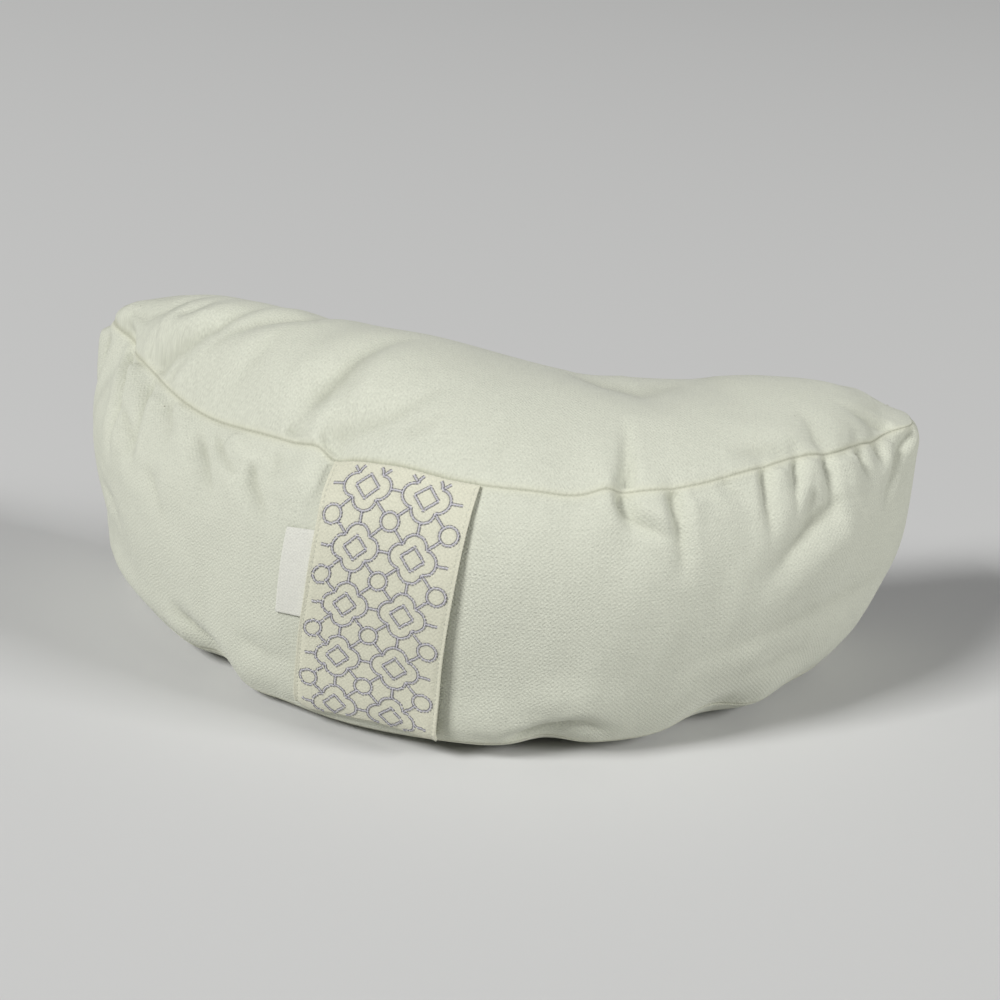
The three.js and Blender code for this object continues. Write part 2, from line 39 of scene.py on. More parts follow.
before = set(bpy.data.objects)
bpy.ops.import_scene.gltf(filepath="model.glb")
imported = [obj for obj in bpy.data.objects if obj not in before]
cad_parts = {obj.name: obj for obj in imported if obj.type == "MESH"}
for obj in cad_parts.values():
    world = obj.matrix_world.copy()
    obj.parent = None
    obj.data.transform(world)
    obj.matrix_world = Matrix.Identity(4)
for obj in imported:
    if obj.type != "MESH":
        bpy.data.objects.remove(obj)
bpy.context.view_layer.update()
MM = 0.001
# From the outline's own origin, in the middle of the hollow, to the frame's origin, in mm
FRAME_SHIFT = np.array([1.43, 59.39, -0.06])

# Tables of the cushion's shape

Level = namedtuple("Level", "at height")
Belly = namedtuple("Belly", "down front left right hollow")
Shift = namedtuple("Shift", "along spread lift draw")
Fold = namedtuple("Fold", "path width height rise")

# Crown of the top panel above its seam in mm, from the left horn at -1 to the right horn at 1
CROWN = [
    Level(-1, 13.5), Level(-0.95, 25), Level(-0.9, 31.5), Level(-0.8, 38), Level(-0.55, 40),
    Level(-0.2, 38.5), Level(0.2, 26.5), Level(0.55, 23.5), Level(0.7, 24), Level(0.85, 20.5),
    Level(0.95, 12), Level(1, 2),
]

# Outward belly in mm of the front, the two horns and the hollow, by the share of the wall's height below
# the top seam
BELLY = [
    Belly(0, 0, 0, 0, 0),
    Belly(0.12, 12.5, 10.5, 12, 8),
    Belly(0.3, 20, 19, 21, 14),
    Belly(0.55, 20.5, 17, 21, 16),
    Belly(0.8, 15, 9.5, 11, 13),
    Belly(0.92, 9.5, 8, 2, 8),
    Belly(1, 2, -2, -6, 2),
]

# Where the seams leave their outline: the place along the top seam from the middle of the front, how far
# the shift spreads, and how much it lifts the seam and draws it in, in mm
TOP_SEAM_SHIFTS = [
    Shift(-168, 32, -5, 0),
    Shift(-96, 9, 2, 0),
    Shift(-89, 5, -2, 0),
    Shift(-84, 8, -3, 1),
    Shift(-50, 16, 2, 0),
    Shift(30, 14, -2, 0),
    Shift(47, 7, 2, 0),
    Shift(58, 7, -2, 3),
    Shift(125, 26, 3, 2),
    Shift(165, 28, 5, 4),
    Shift(215, 22, 2, 2),
    Shift(240, 22, -2.5, 0),
    Shift(270, 14, 1, -8),
    Shift(290, 20, -3, -13),
    Shift(326, 20, -12, -6),
    Shift(395, 24, -3, 3),
    Shift(520, 30, -5, 4),
    Shift(-440, 30, -3, 3),
    Shift(-326, 16, -1, -4),
    Shift(-304, 16, 2, -9),
    Shift(-278, 10, 0, 2),
    Shift(-235, 32, 0, 4),
    Shift(-165, 28, 0, 2.5),
]
BASE_SEAM_SHIFTS = [
    Shift(-150, 14, 4, 4),
    Shift(-125, 16, -3, 0),
    Shift(-70, 50, -3, -2),
    Shift(-4, 30, 3, -6),
    Shift(32, 14, 4, 3),
    Shift(125, 24, 9, 4),
    Shift(185, 24, 3, 2),
    Shift(360, 20, 4, 3),
    Shift(470, 26, 5, 4),
    Shift(-380, 24, 5, 4),
    Shift(328, 9, 9, -6),
    Shift(-328, 9, 9, -6),
]
# How far into the cloth such a shift reaches, and the small scallop at the head of a fold
SHIFT_REACH, SCALLOP_REACH = 26, 8
# How far from a seam its stitches keep folds down
SEAM_HOLD = 2.5

# How far the band's two edges lean in mm from their place at the top seam, by the share of the depth
Lean = namedtuple("Lean", "at left right")
BAND_LEAN = [
    Lean(0, 0, 0), Lean(0.1, 0.5, -2.0), Lean(0.24, 2.2, -3.9), Lean(0.46, 0.5, -6.0),
    Lean(0.65, -2.7, -7.2), Lean(0.82, -5.0, -7.2), Lean(1, -7.2, -7.2),
]

# Folds of the wall: their path along the top seam and down the cloth below it, their width and height in
# mm, and over what share of their length they grow in. Valleys have a height below 0.
WALL_FOLDS = [
    Fold((
        (-271, 1.4), (-264, 5.4), (-254, 11), (-245, 18), (-239, 27), (-236, 37), (-234, 50)), 4.4, -6.5, 0),
    Fold(((-249, 3), (-241, 10.5), (-233, 24)), 6.5, 3.2, 0.1),
    Fold(((-236, 23), (-223, 29), (-212, 35), (-203, 47)), 6, -3.4, 0.3),
    Fold(((-228, 1), (-222, 8), (-218, 15.6), (-215, 22.4), (-213, 32), (-214, 46)), 4.8, -5, 0.15),
    Fold(((-212, 6), (-205, 20)), 6, 2, 0.3),
    Fold(((-205, 3), (-196.5, 7), (-189, 12), (-184, 24)), 4.8, -3, 0.3),
    Fold(((-194, 3), (-184, 11), (-177, 20)), 5.5, 2, 0.1),
    Fold(((-172, 9), (-165, 13), (-156, 21), (-144, 38)), 5.6, -4.8, 0.3),
    Fold(((-160, 5), (-152, 11.6), (-144, 17.2), (-133, 24)), 4.8, -4.4, 0.3),
    Fold(((-148, 7), (-134, 17)), 6.5, 2.4, 0.1),
    Fold(((-129, 14), (-123.4, 25.7), (-117.7, 31.8), (-110, 42)), 5.5, -4.2, 0.2),
    Fold(((-255, 75), (-234, 80), (-219, 92)), 6, -2, 0.2),
    Fold(((-195, 36), (-186, 45), (-170, 62)), 8, -2.4, 0.3),
    Fold(((-104, 12), (-100, 30)), 12, 1.8, 0.3),
    Fold(((-116, 6), (-112, 24)), 8, -1.8, 0.2),
    Fold(((-176, 108), (-158, 122), (-138, 134)), 7, -4.2, 0.3),
    Fold(((-128, 108), (-108, 114), (-92, 114)), 8, -2, 0.3),
    Fold(((56.4, 0), (55.7, 5.7), (57.7, 11), (61, 15), (68, 19), (78, 25)), 4, -3.4, 0),
    Fold(((64, 5), (70, 11), (82, 17)), 5.5, 2.2, 0.2),
    Fold(((82, 0), (81.5, 12), (84, 42)), 4.2, -4.4, 0),
    Fold(((92, 6), (92, 20)), 7, 1.8, 0.2),
    Fold(((112, 1), (116, 7), (121, 13)), 4.5, -1.9, 0),
    Fold(((138, 1), (134, 18), (134, 36)), 3.8, -3.8, 0),
    Fold(((148, 3), (146, 14)), 6, 2.2, 0.1),
    Fold(((162.7, 0), (157.7, 8.6), (153, 19), (150, 30)), 3.8, -3.4, 0),
    Fold(((171, 2), (168, 12)), 6, 2.2, 0.1),
    Fold(((185, 0), (181.5, 8.5), (178.7, 20.3), (177, 30)), 3.8, -3.6, 0),
    Fold(((199, 3), (198, 12), (196, 26)), 10, 3.5, 0.1),
    Fold(((216, 1), (214.3, 9), (215, 18)), 4.2, -3.5, 0),
    Fold(((236.5, 0), (237, 5), (234.5, 13)), 4, -3.2, 0),
    Fold(((252, 4), (244, 10), (236, 18)), 6, 2.2, 0.1),
    Fold(((272, 2), (258, 10), (240, 20.7), (228.6, 27.2), (222, 36)), 3.4, -3, 0),
    Fold(((188, 22), (172, 30), (158, 36), (146, 44), (132, 56)), 8.5, -5.4, 0.3),
    Fold(((168, 18), (163, 24), (158, 34)), 5, -2.7, 0.2),
    Fold(((200, 36), (180, 48), (152, 66)), 16, 2.2, 0.25),
    Fold(((240, 74), (190, 78), (150, 85), (95, 93)), 11, -2, 0.3),
    Fold(((220, 92), (150, 98), (92, 106)), 13, 1.4, 0.3),
    Fold(((170, 105), (110, 112)), 8, -1.6, 0.3),
    Fold(((12, 136), (22, 131), (30, 127), (40, 125), (50, 127), (62, 132)), 4.5, -4.3, 0.15),
    Fold(((14, 106), (40, 111), (66, 116)), 12, 3.5, 0.3),
    Fold(((300, 6), (302, 40), (298, 80)), 6, -4.1, 0),
    Fold(((318, 4), (322, 30), (328, 60)), 10, 4.1, 0),
    Fold(((345, 2), (348, 24), (356, 48)), 5, -4.1, 0),
    Fold(((360, 4), (364, 20), (368, 38)), 9, 3.2, 0),
    Fold(((374, 2), (378, 18), (380, 36)), 5, -3.2, 0),
    Fold(((410, 2), (406, 30), (414, 66)), 7, -4.1, 0),
    Fold(((452, 0), (456, 22), (450, 50)), 6, -3.2, 0),
    Fold(((476, 2), (474, 14), (478, 26)), 5, -2.2, 0),
    Fold(((500, 2), (496, 34), (504, 70)), 9, -4.1, 0),
    Fold(((530, 2), (534, 14), (530, 28)), 6, -2.2, 0),
    Fold(((440, 134), (446, 112), (438, 90)), 8, -4.1, 0),
    Fold(((480, 136), (476, 122), (478, 110)), 6, -3.2, 0),
    Fold(((520, 134), (514, 116), (518, 98)), 8, -3.2, 0),
    Fold(((-300, 4), (-302, 34), (-296, 74)), 6, -4.1, 0.1),
    Fold(((-316, 4), (-318, 28), (-326, 58)), 10, 4.1, 0.1),
    Fold(((-338, 2), (-344, 22), (-352, 52)), 5, -4.1, 0),
    Fold(((-360, 2), (-362, 14), (-366, 28)), 5, -2.2, 0),
    Fold(((-382, 2), (-380, 20), (-388, 40)), 6, -3.2, 0),
    Fold(((-425, 2), (-430, 30), (-422, 62)), 7, -4.1, 0),
    Fold(((-446, 2), (-448, 14), (-444, 28)), 5, -2.2, 0),
    Fold(((-470, 2), (-466, 18), (-472, 40)), 6, -3.2, 0),
    Fold(((-520, 2), (-524, 30), (-516, 62)), 8, -3.2, 0),
    Fold(((-470, 134), (-466, 112), (-474, 92)), 8, -4.1, 0),
    Fold(((-430, 136), (-434, 120), (-430, 104)), 6, -3.2, 0),
    Fold(((-400, 132), (-404, 116), (-396, 100)), 8, -3.2, 0),
]

# Folds of the top panel in X and Y, seen from above, in mm
TOP_FOLDS = [
    Fold(((-207, 8), (-195, -12), (-183, -22), (-172, -21), (-158, -20)), 5, -2.3, 0),
    Fold(((-176, -36), (-166, -38.5), (-157, -31)), 5, -2.6, 0.2),
    Fold(((-190, -40), (-178, -52), (-166, -58), (-152, -58), (-137, -47), (-124, -32)), 5.5, -4.7, 0),
    Fold(((-186, -34), (-160, -46), (-140, -36)), 8, 2.1, 0.1),
    Fold(((-177, -60), (-171, -62), (-165, -64)), 5, -2.1, 0.2),
    Fold(((-161, -72), (-148, -67), (-126, -58), (-108, -51), (-82, -17)), 7, -3.9, 0.25),
    Fold(((-142, -98), (-128, -84), (-108, -62)), 11, -1.6, 0.3),
    Fold(((-106, -123), (-96, -116), (-85, -107), (-77, -95), (-66, -83), (-51, -70)), 9, -6, 0.2),
    Fold(((-86, -118), (-68, -98), (-44, -56)), 18, 3, 0.2),
    Fold(((-109, -122), (-104, -125), (-98, -128)), 3.5, -2.6, 0.2),
    Fold(((-85.5, -138), (-88.6, -134), (-90.5, -129)), 4.5, -3.8, 0),
    Fold(((-83, -131), (-67, -133), (-56, -131), (-45, -125), (-33, -115)), 7, -3.6, 0),
    Fold(((-57, -142), (-42, -138.5), (-29, -129)), 8, -2, 0.3),
    Fold(((-6, -150), (-2, -140), (4, -126)), 10, -1.2, 0),
    Fold(((55, -150), (56.4, -143), (57, -138), (56, -122), (55, -112)), 3.4, -2.8, 0),
    Fold(((23, -47), (64, -71), (91, -41)), 18, -5, 0.3),
    Fold(((106, -114), (123, -104), (138, -97), (150, -86)), 8, -2.4, 0.3),
    Fold(((158, -82), (153, -72), (145, -65)), 10, -2.6, 0.2),
    Fold(((203, -21), (197, -25), (189, -31.3), (182, -36.5), (172, -41)), 3.6, -2.6, 0),
    Fold(((-150, 10), (-110, 0), (-60, -12)), 16, 3, 0.2),
    Fold(((150, 20), (170, 8), (196, 0)), 12, -1.5, 0.2),
    Fold(((100, -40), (130, -30), (160, -28)), 26, 2, 0.2),
]

# Small crossing creases of soft cotton: how many waves run round and down the wall, and their height in mm
Ripple = namedtuple("Ripple", "waves_along waves_down height phase")
RIPPLES = [
    Ripple(13, 0.9, 0.4, 0.4), Ripple(23, -1.3, 0.25, 2.1),
    Ripple(37, 1.7, 0.15, 4.0), Ripple(61, -0.6, 0.1, 1.2),
]

RIPPLE_DROP, RIPPLE_START = 150, 18

# The outline: how squarely the hollow ends at its corners, and from what share of the half width it is horn
HOLLOW_POWER, HORN_STARTS_AT, HORN_POWER = 2.2, 0.55, 1.5
# How softly the outline's turns carry into the wall, in mm along the seam
TURN_BLEND, SIDE_BLEND, HORN_BLEND, CORNER_ROUNDING = 31, 37, 22, 24
# How far in from the base seam the base curls up, along its sides and at the horns
BASE_CURL, HORN_BASE_CURL = 30, 48
# How far in from the end seams the crown has risen, and how full it is there and from front to hollow
END_RISE, END_STEEPNESS, END_FULNESS = 24, 2.5, 0.6
ARCH_FLATNESS, ARCH_FULNESS = 2.2, 0.84

# Cells of the panels along the front, from front to hollow and down the wall: as drawn, and for settling
Cells = namedtuple("Cells", "along across down")
DRAWN, SETTLED = Cells(310, 60, 80), Cells(116, 16, 26)
# The band hides this stretch of the front, which needs fewer cells
HIDDEN_AT, HIDDEN_REACH = 0.445, 0.1

# A fold fades by this share to its end. Painted shade darkens its foot over this share of its width, and
# is darkest from this depth on, in mm
FOLD_FADE, FOOT_SHARE, DEEP_FOLD = 0.85, 0.38, 5

# The filling swells the cloth by about this much, so it starts smaller, and no point moves past the cap
SWELL, CAP, STEPS = 0.4, 5, 20
# No slack is given this near a seam, or where the base lies on the floor
SLACK_START, LIES_BELOW = 14, 0.6
# The wall is gathered all round but for a smooth stretch at the band, and less towards its foot
SMOOTH_AT, SMOOTH_SPREAD, GATHER_TOP, GATHER_DROP, GATHER_FOOT = -45, 75, 1.2, 90, 0.25
TOP_GATHER, MOST_GATHER = 0.35, 0.04

# Puckers at a seam: how many run round the cushion, their height, and where they are highest
PUCKERS, PUCKER_HEIGHT, PUCKER_AT, PUCKER_REACH = 172, 0.3, 3.5, 5
# The seam's groove, and the turned-in cloth that stands up beside it: depth or height, place and width
GROOVE_DEPTH, GROOVE_WIDTH = 0.35, 0.5
TURNED_HEIGHT, TURNED_AT, TURNED_WIDTH = 0.2, 2, 1.3
# How far from a seam the painted warm light reaches, and how dark the painted shade at a fold's foot is
# beside that painted at the seam
SEAM_LIGHT_REACH, FOLD_SHADE = 2.4, 0.5

# The band's edge stitching lies this far in. The band stands off at its free foot, hangs between these
# shares of the wall, and clears the cover by the gap
HEM, BAND_STAND_OFF, BAND_GAP, BAND_TOP, BAND_SPAN = 1.8, 4, 0.6, 0.004, 0.988
# The label is caught this far under the band. Its top and foot rise this much towards the band, and its
# free edge leans by this much
LABEL_TUCK, LABEL_TOP_RISE, LABEL_FOOT_RISE, LABEL_LEAN = 1.5, 6.2, 4.9, 2.8
LABEL_THICKNESS, TAPE_PITCH = 0.9, 0.9
# Rounds of smoothing with which stretched cloth spans the hollows under it, and then eases its gap
SPANNING, EASING = 60, 4

# Embroidery: length of a stitch, width between the two outlines, and width and height of both threads
ROW_STITCH, ROW_GAP, THREAD_WIDTH, FILL_WIDTH = 1.5, 1.45, 0.3, 1.0
THREAD_HEIGHT, FILL_HEIGHT, STITCH_OVERLAP = 0.5, 0.3, 1.3
# The first motif's place down the band in repeats, and how near the embroidery comes to the band's ends
MOTIF_START, EMBROIDERY_END = 0.42, 2.5
# Lobes, corner rings and their place as shares of a motif
LOBE, CORNER_RING, CORNER = 0.2, 0.152, 0.5

Stitch = namedtuple("Stitch", "step length width height")
SEAM_STITCH = Stitch(2.8, 1.5, 0.22, 0.22)
BAND_STITCH = Stitch(2.6, 1.9, 0.42, 0.35)

# The weave's parts in its relief and in its tone: crossings of threads, weft, thick places and fuzz
Weave = namedtuple("Weave", "crossings weft slubs grain")
IN_RELIEF, IN_TONE = Weave(0.35, 0.08, 0.5, 1.6), Weave(0.03, 0, 0.12, 0.5)
# How strongly the painted warm seam light, the painted shade of seams and folds and the seed flecks show
SEAM_LIGHT_SHARE, SHADE_SHARE, SEED_SHARE = 0.3, 0.5, 0.65
SHADE_COLOUR, SEED_COLOUR = "#7E7F6A", "#6A5F48"
SEED_SIZE, SEED_SPREAD = 0.0115, 0.03

# The photograph's camera: azimuth, elevation and roll in degrees, lens and sensor in mm, and where it
# looks and from how far, in metres
CAMERA_TURN, LENS, SENSOR = (-1.72, 21.73, 6.1), 76.5, 36
AIM, DISTANCE = (0.0009, -0.0092, 0.0994), 1.0976
Softbox = namedtuple("Softbox", "name place side power")
SOFTBOXES = [
    Softbox("key_softbox", (-9.1, -7.6, 9.2), 4.0, 2180),
    Softbox("fill_softbox", (12.2, -4.4, 7.5), 5.0, 1380),
]
LIGHTS_AIM, ROOM_LIGHT = (0, 0, 0.08), 0.05


class CushionSizes(bpy.types.PropertyGroup):
    """Sizes of the cushion, its band and its label, in millimetres."""
    front_half_width: bpy.props.FloatProperty(
        name="Front half width", description="Top seam, middle to front corner, mm", default=204)
    front_bow: bpy.props.FloatProperty(
        name="Bow", description="How far the front bows out, mm", default=161)
    front_power: bpy.props.FloatProperty(
        name="Bow roundness", description="2 is an ellipse, less is more pointed", default=1.68)
    hollow_back: bpy.props.FloatProperty(
        name="Hollow", description="Top seam at the middle of the hollow, mm", default=-2)
    horn_back: bpy.props.FloatProperty(
        name="Horn length", description="Top seam at the horns' back corners, mm", default=50)
    horn_flare: bpy.props.FloatProperty(
        name="Horn flare", description="How much wider the back corners are, mm", default=9)
    wall_height: bpy.props.FloatProperty(
        name="Wall", description="Height between the two seams, mm", default=134)
    base_lift: bpy.props.FloatProperty(
        name="Base seam", description="Height of the base seam at the front, mm", default=8.5)
    horn_lift: bpy.props.FloatProperty(
        name="Base seam at horns", description="Height of the base seam at the horns, mm", default=20)
    band_width: bpy.props.FloatProperty(
        name="Band width", description="Width of the embroidered band, mm", default=73)
    band_left: bpy.props.FloatProperty(
        name="Band place", description="Left edge of the band at the top seam, mm", default=-86)
    band_thickness: bpy.props.FloatProperty(
        name="Band thickness", description="Two layers of cotton, mm", default=1.8)
    label_width: bpy.props.FloatProperty(
        name="Label width", description="How far the folded tape stands out, mm", default=15.2)
    label_from: bpy.props.FloatProperty(
        name="Label top", description="Top corner below the top seam, mm", default=40.9)
    label_to: bpy.props.FloatProperty(
        name="Label foot", description="Lower corner below the top seam, mm", default=85.9)
    motif: bpy.props.FloatProperty(
        name="Motif", description="Repeat of the embroidery, mm", default=29)
    thread_pitch: bpy.props.FloatProperty(
        name="Weave", description="Spacing of the drawn threads, mm", default=1.15)


def linear(code):
    """An sRGB hex colour as linear red, green and blue."""
    parts = [int(code[i:i + 2], 16) / 255 for i in (1, 3, 5)]
    return [p / 12.92 if p <= 0.04045 else ((p + 0.055) / 1.055) ** 2.4 for p in parts]


class CushionColours(bpy.types.PropertyGroup):
    """Colours of the cloths and threads."""
    cotton: bpy.props.FloatVectorProperty(
        name="Cotton", description="Undyed cover cotton", subtype="COLOR", size=3,
        min=0, max=1, default=linear("#CACCBD"))
    band: bpy.props.FloatVectorProperty(
        name="Band cotton", description="Cotton of the band", subtype="COLOR", size=3,
        min=0, max=1, default=linear("#CECDBA"))
    thread: bpy.props.FloatVectorProperty(
        name="Embroidery", description="Grey outline thread", subtype="COLOR", size=3,
        min=0, max=1, default=linear("#6E6D75"))
    fill: bpy.props.FloatVectorProperty(
        name="Embroidery fill", description="Pale lilac-grey thread between the outlines", subtype="COLOR",
        size=3, min=0, max=1, default=linear("#C6C4CB"))
    seam: bpy.props.FloatVectorProperty(
        name="Seam thread", description="Undyed sewing thread", subtype="COLOR", size=3,
        min=0, max=1, default=linear("#CDCEBE"))
    # Painted warm light reflected beside the seams, a lighter, warmer cream than the cotton
    turned: bpy.props.FloatVectorProperty(
        name="Turned edge", description="Cotton doubled at the seams, a warmer cream", subtype="COLOR",
        size=3, min=0, max=1, default=linear("#D6D5BC"))
    label: bpy.props.FloatVectorProperty(
        name="Label", description="White woven tape", subtype="COLOR", size=3,
        min=0, max=1, default=linear("#D5D5CC"))
    floor: bpy.props.FloatVectorProperty(
        name="Floor", description="Pale studio floor", subtype="COLOR", size=3,
        min=0, max=1, default=linear("#CBCBCA"))


def sizes():
    return bpy.context.scene.cushion_sizes


def colours():
    return bpy.context.scene.cushion_colours


# The cushion's surface, in mm

def bell(distance, width):
    """Falls from 1 at no distance to nearly 0 at twice the width."""
    return np.exp(-(distance / width) ** 2)


def read(rows, place, column):
    """Smooth curve through a column of a table whose first column is the place."""
    at = np.array([row[0] for row in rows], float)
    value = np.array([getattr(row, column) for row in rows], float)
    before = np.r_[0, np.arange(len(rows) - 1)]
    after = np.r_[np.arange(1, len(rows)), len(rows) - 1]
    slope = (value[after] - value[before]) / (at[after] - at[before])
    i = np.clip(np.searchsorted(at, place) - 1, 0, len(rows) - 2)
    span = at[i + 1] - at[i]
    t = np.clip((place - at[i]) / span, 0, 1)
    rise = t * t * (3 - 2 * t)
    lead = t * (1 - t) ** 2 * span * slope[i]
    trail = t * t * (1 - t) * span * slope[i + 1]
    return value[i] * (1 - rise) + value[i + 1] * rise + lead - trail


def spaced(curve, shares):
    """Points of a plan curve at given shares of its length."""
    fine = curve(np.linspace(0, 1, 4001))
    run = np.r_[0, np.cumsum(np.linalg.norm(np.diff(fine, axis=0), axis=1))]
    goal = shares * run[-1]
    return np.stack([np.interp(goal, run, fine[:, k]) for k in (0, 1)], -1)


def front_seam(share):
    """Plan of the top seam round the bowed front, from the left horn to the right."""
    size = sizes()
    angle = math.pi * (1 - share)
    cos, sin = np.cos(angle), np.abs(np.sin(angle))
    across = np.sign(cos) * np.abs(cos) ** (2 / size.front_power)
    bow = -size.front_bow * sin ** (2 / size.front_power)
    return np.stack([size.front_half_width * across, bow], -1)


def hollow_seam(share):
    """Plan of the top seam along the hollow, from the left horn to the right."""
    size = sizes()
    side = 2 * share - 1
    back = size.hollow_back + (size.horn_back - size.hollow_back) * np.abs(side) ** HOLLOW_POWER
    return np.stack([(size.front_half_width + size.horn_flare) * side, back], -1)


def crowded(count, spacing):
    """Shares from 0 to 1 whose steps follow a wished-for spacing."""
    fine = np.linspace(0, 1, 2001)
    run = np.r_[0, np.cumsum(1 / spacing((fine[1:] + fine[:-1]) / 2))]
    return np.interp(np.linspace(0, run[-1], count + 1), run, fine)


def near_ends(floor, reach):
    """Spacing that falls to a floor close to both ends."""
    return lambda share: floor + (1 - floor) * (1 - bell(share, reach)) * (1 - bell(1 - share, reach))


def rim(grid):
    """The edge of a panel grid in the ring's order: front, right end, hollow, left end."""
    return np.concatenate([grid[:-1, 0], grid[-1, :-1], grid[:0:-1, -1], grid[0, :0:-1]])


Ring = namedtuple("Ring", "points along step whole out side horn soft")


def make_ring(points, last, cells):
    """What the wall needs to know all the way round the top seam."""
    size = sizes()
    step = np.linalg.norm(np.roll(points, -1, 0) - points, axis=1)
    run = np.r_[0, np.cumsum(step)[:-1]]
    whole = step.sum()
    along = run - run[last] / 2
    along = np.where(along > whole / 2, along - whole, along)
    share = (step + np.roll(step, 1)) / 2
    gap = np.abs(run[:, None] - run[None])
    gap = np.minimum(gap, whole - gap)

    def smooth(values, width):
        weight = share[None] * bell(gap, width * math.sqrt(2))
        return weight @ values / weight.sum(1).reshape(-1, *[1] * (values.ndim - 1))

    ahead = np.roll(points, -1, 0) - np.roll(points, 1, 0)
    ahead /= np.linalg.norm(ahead, axis=1)[:, None]
    out = smooth(np.stack([ahead[:, 1], -ahead[:, 0]], -1), TURN_BLEND)
    out /= np.linalg.norm(out, axis=1)[:, None]
    place = np.arange(len(points))
    on_front = smooth((place <= last) * 1.0, SIDE_BLEND)
    in_hollow = smooth(((place >= last + cells) & (place <= 2 * last + cells)) * 1.0, SIDE_BLEND)
    reach = np.abs(points[:, 0]) / size.front_half_width
    past = np.clip((reach - HORN_STARTS_AT) / (1 - HORN_STARTS_AT), 0, 1)
    horn = smooth(past ** HORN_POWER, HORN_BLEND)
    soft = smooth(points, CORNER_ROUNDING)
    return Ring(points, along, step, whole, out, on_front / (on_front + in_hollow), horn, soft)


def wall_rings(ring, downs):
    """Rings of points from the top seam down to the base seam."""
    size = sizes()
    height = size.base_lift + size.wall_height
    lift = size.base_lift + (size.horn_lift - size.base_lift) * ring.horn
    rings = []
    for down in downs:
        front, left, right, hollow = (float(read(BELLY, down, part)) for part in Belly._fields[1:])
        long = ring.side * front + (1 - ring.side) * hollow
        horn = np.where(ring.points[:, 0] < 0, left, right)
        reach = (1 - ring.horn) * long + ring.horn * horn
        rounding = max(math.sin(math.pi * down), 0) ** 0.7
        plan = ring.points * (1 - rounding) + ring.soft * rounding + ring.out * reach[:, None]
        rings.append(np.column_stack([plan, height * (1 - down) + lift * down]))
    return np.array(rings)


def top_panel(front, hollow, across):
    """The crowned top between the front and the hollow seam."""
    size = sizes()
    plan = front[:, None] * (1 - across)[None, :, None] + hollow[:, None] * across[None, :, None]
    run = shares_of(front)[1]
    from_end = np.minimum(run, run[-1] - run)
    ends = (1 - np.clip(1 - from_end / END_RISE, 0, 1) ** END_STEEPNESS) ** END_FULNESS
    crown = read(CROWN, front[:, 0] / size.front_half_width, "height") * ends
    arch = np.clip(1 - np.abs(2 * across - 1) ** ARCH_FLATNESS, 0, 1) ** ARCH_FULNESS
    height = size.base_lift + size.wall_height + crown[:, None] * arch[None]
    return np.concatenate([plan, height[..., None]], -1)


def sides_of(seam, last, cells):
    """Splits what is known round a panel into its front, hollow, left and right edge."""
    front, right = seam[:last + 1], seam[last:last + cells + 1]
    hollow = seam[last + cells:2 * last + cells + 1][::-1]
    left = np.concatenate([seam[:1], seam[:len(seam) - cells - 1:-1]])
    return front, hollow, left, right


def base_panel(seam, last, cells):
    """A flat base whose edges curl up to the base seam."""
    front, hollow, left, right = sides_of(seam, last, cells)
    share, run = shares_of(front)
    across = shares_of(left)[0]
    s, t = share[:, None, None], across[None, :, None]
    long = front[:, None] * (1 - t) + hollow[:, None] * t
    short = left[None] * (1 - s) + right[None] * s
    corners = (
        (front[0] * (1 - s) + front[-1] * s) * (1 - t) + (hollow[0] * (1 - s) + hollow[-1] * s) * t)
    grid = long + short - corners
    wide = np.linalg.norm(front - hollow, axis=1)[:, None]

    def flat_from(distance, reach):
        return 1 - np.clip(1 - distance / reach, 0, 1) ** 2

    edges = flat_from(across[None] * wide, BASE_CURL) * flat_from((1 - across[None]) * wide, BASE_CURL)
    ends = flat_from(run, HORN_BASE_CURL) * flat_from(run[-1] - run, HORN_BASE_CURL)
    grid[..., 2] = long[..., 2] * (1 - edges * ends[:, None])
    return grid


def shares_of(line):
    """Shares of a line's length at its points, and the lengths themselves."""
    run = np.r_[0, np.cumsum(np.linalg.norm(np.diff(line, axis=0), axis=1))]
    return run / run[-1], run


def edge_runs(panel):
    """Distances over a panel from its left, right, front and hollow edges."""
    runs = []
    for axis in (0, 1):
        step = np.linalg.norm(np.diff(panel, axis=axis), axis=-1)
        ahead = np.concatenate([np.zeros_like(np.take(step, [0], axis)), np.cumsum(step, axis)], axis)
        runs += [ahead, np.take(ahead, [-1], axis) - ahead]
    return runs


def seam_moves(ring, shifts):
    """How far a table of small shifts moves each point of a seam."""
    moves = np.zeros((len(ring.along), 3))
    for row in shifts:
        gap = np.abs(ring.along - row.along)
        share = bell(np.minimum(gap, ring.whole - gap), row.spread)
        moves[:, :2] -= ring.out * (row.draw * share)[:, None]
        moves[:, 2] += row.lift * share
    return moves


def push_panel(panel, moves, reach):
    """Moves a panel's edge, and the cloth near it."""
    last, cells = panel.shape[0] - 1, panel.shape[1] - 1
    front, hollow, left, right = sides_of(moves, last, cells)
    near_left, near_right, near_front, near_hollow = (
        bell(run, reach)[..., None] for run in edge_runs(panel))
    panel += (
        near_front * front[:, None] + near_hollow * hollow[:, None] + near_left * left + near_right * right)
    for near, side in ((near_front, front), (near_hollow, hollow)):
        panel -= near * (near_left * side[0] + near_right * side[-1])


Grid = namedtuple("Grid", "shares across downs ring top rings base depth")


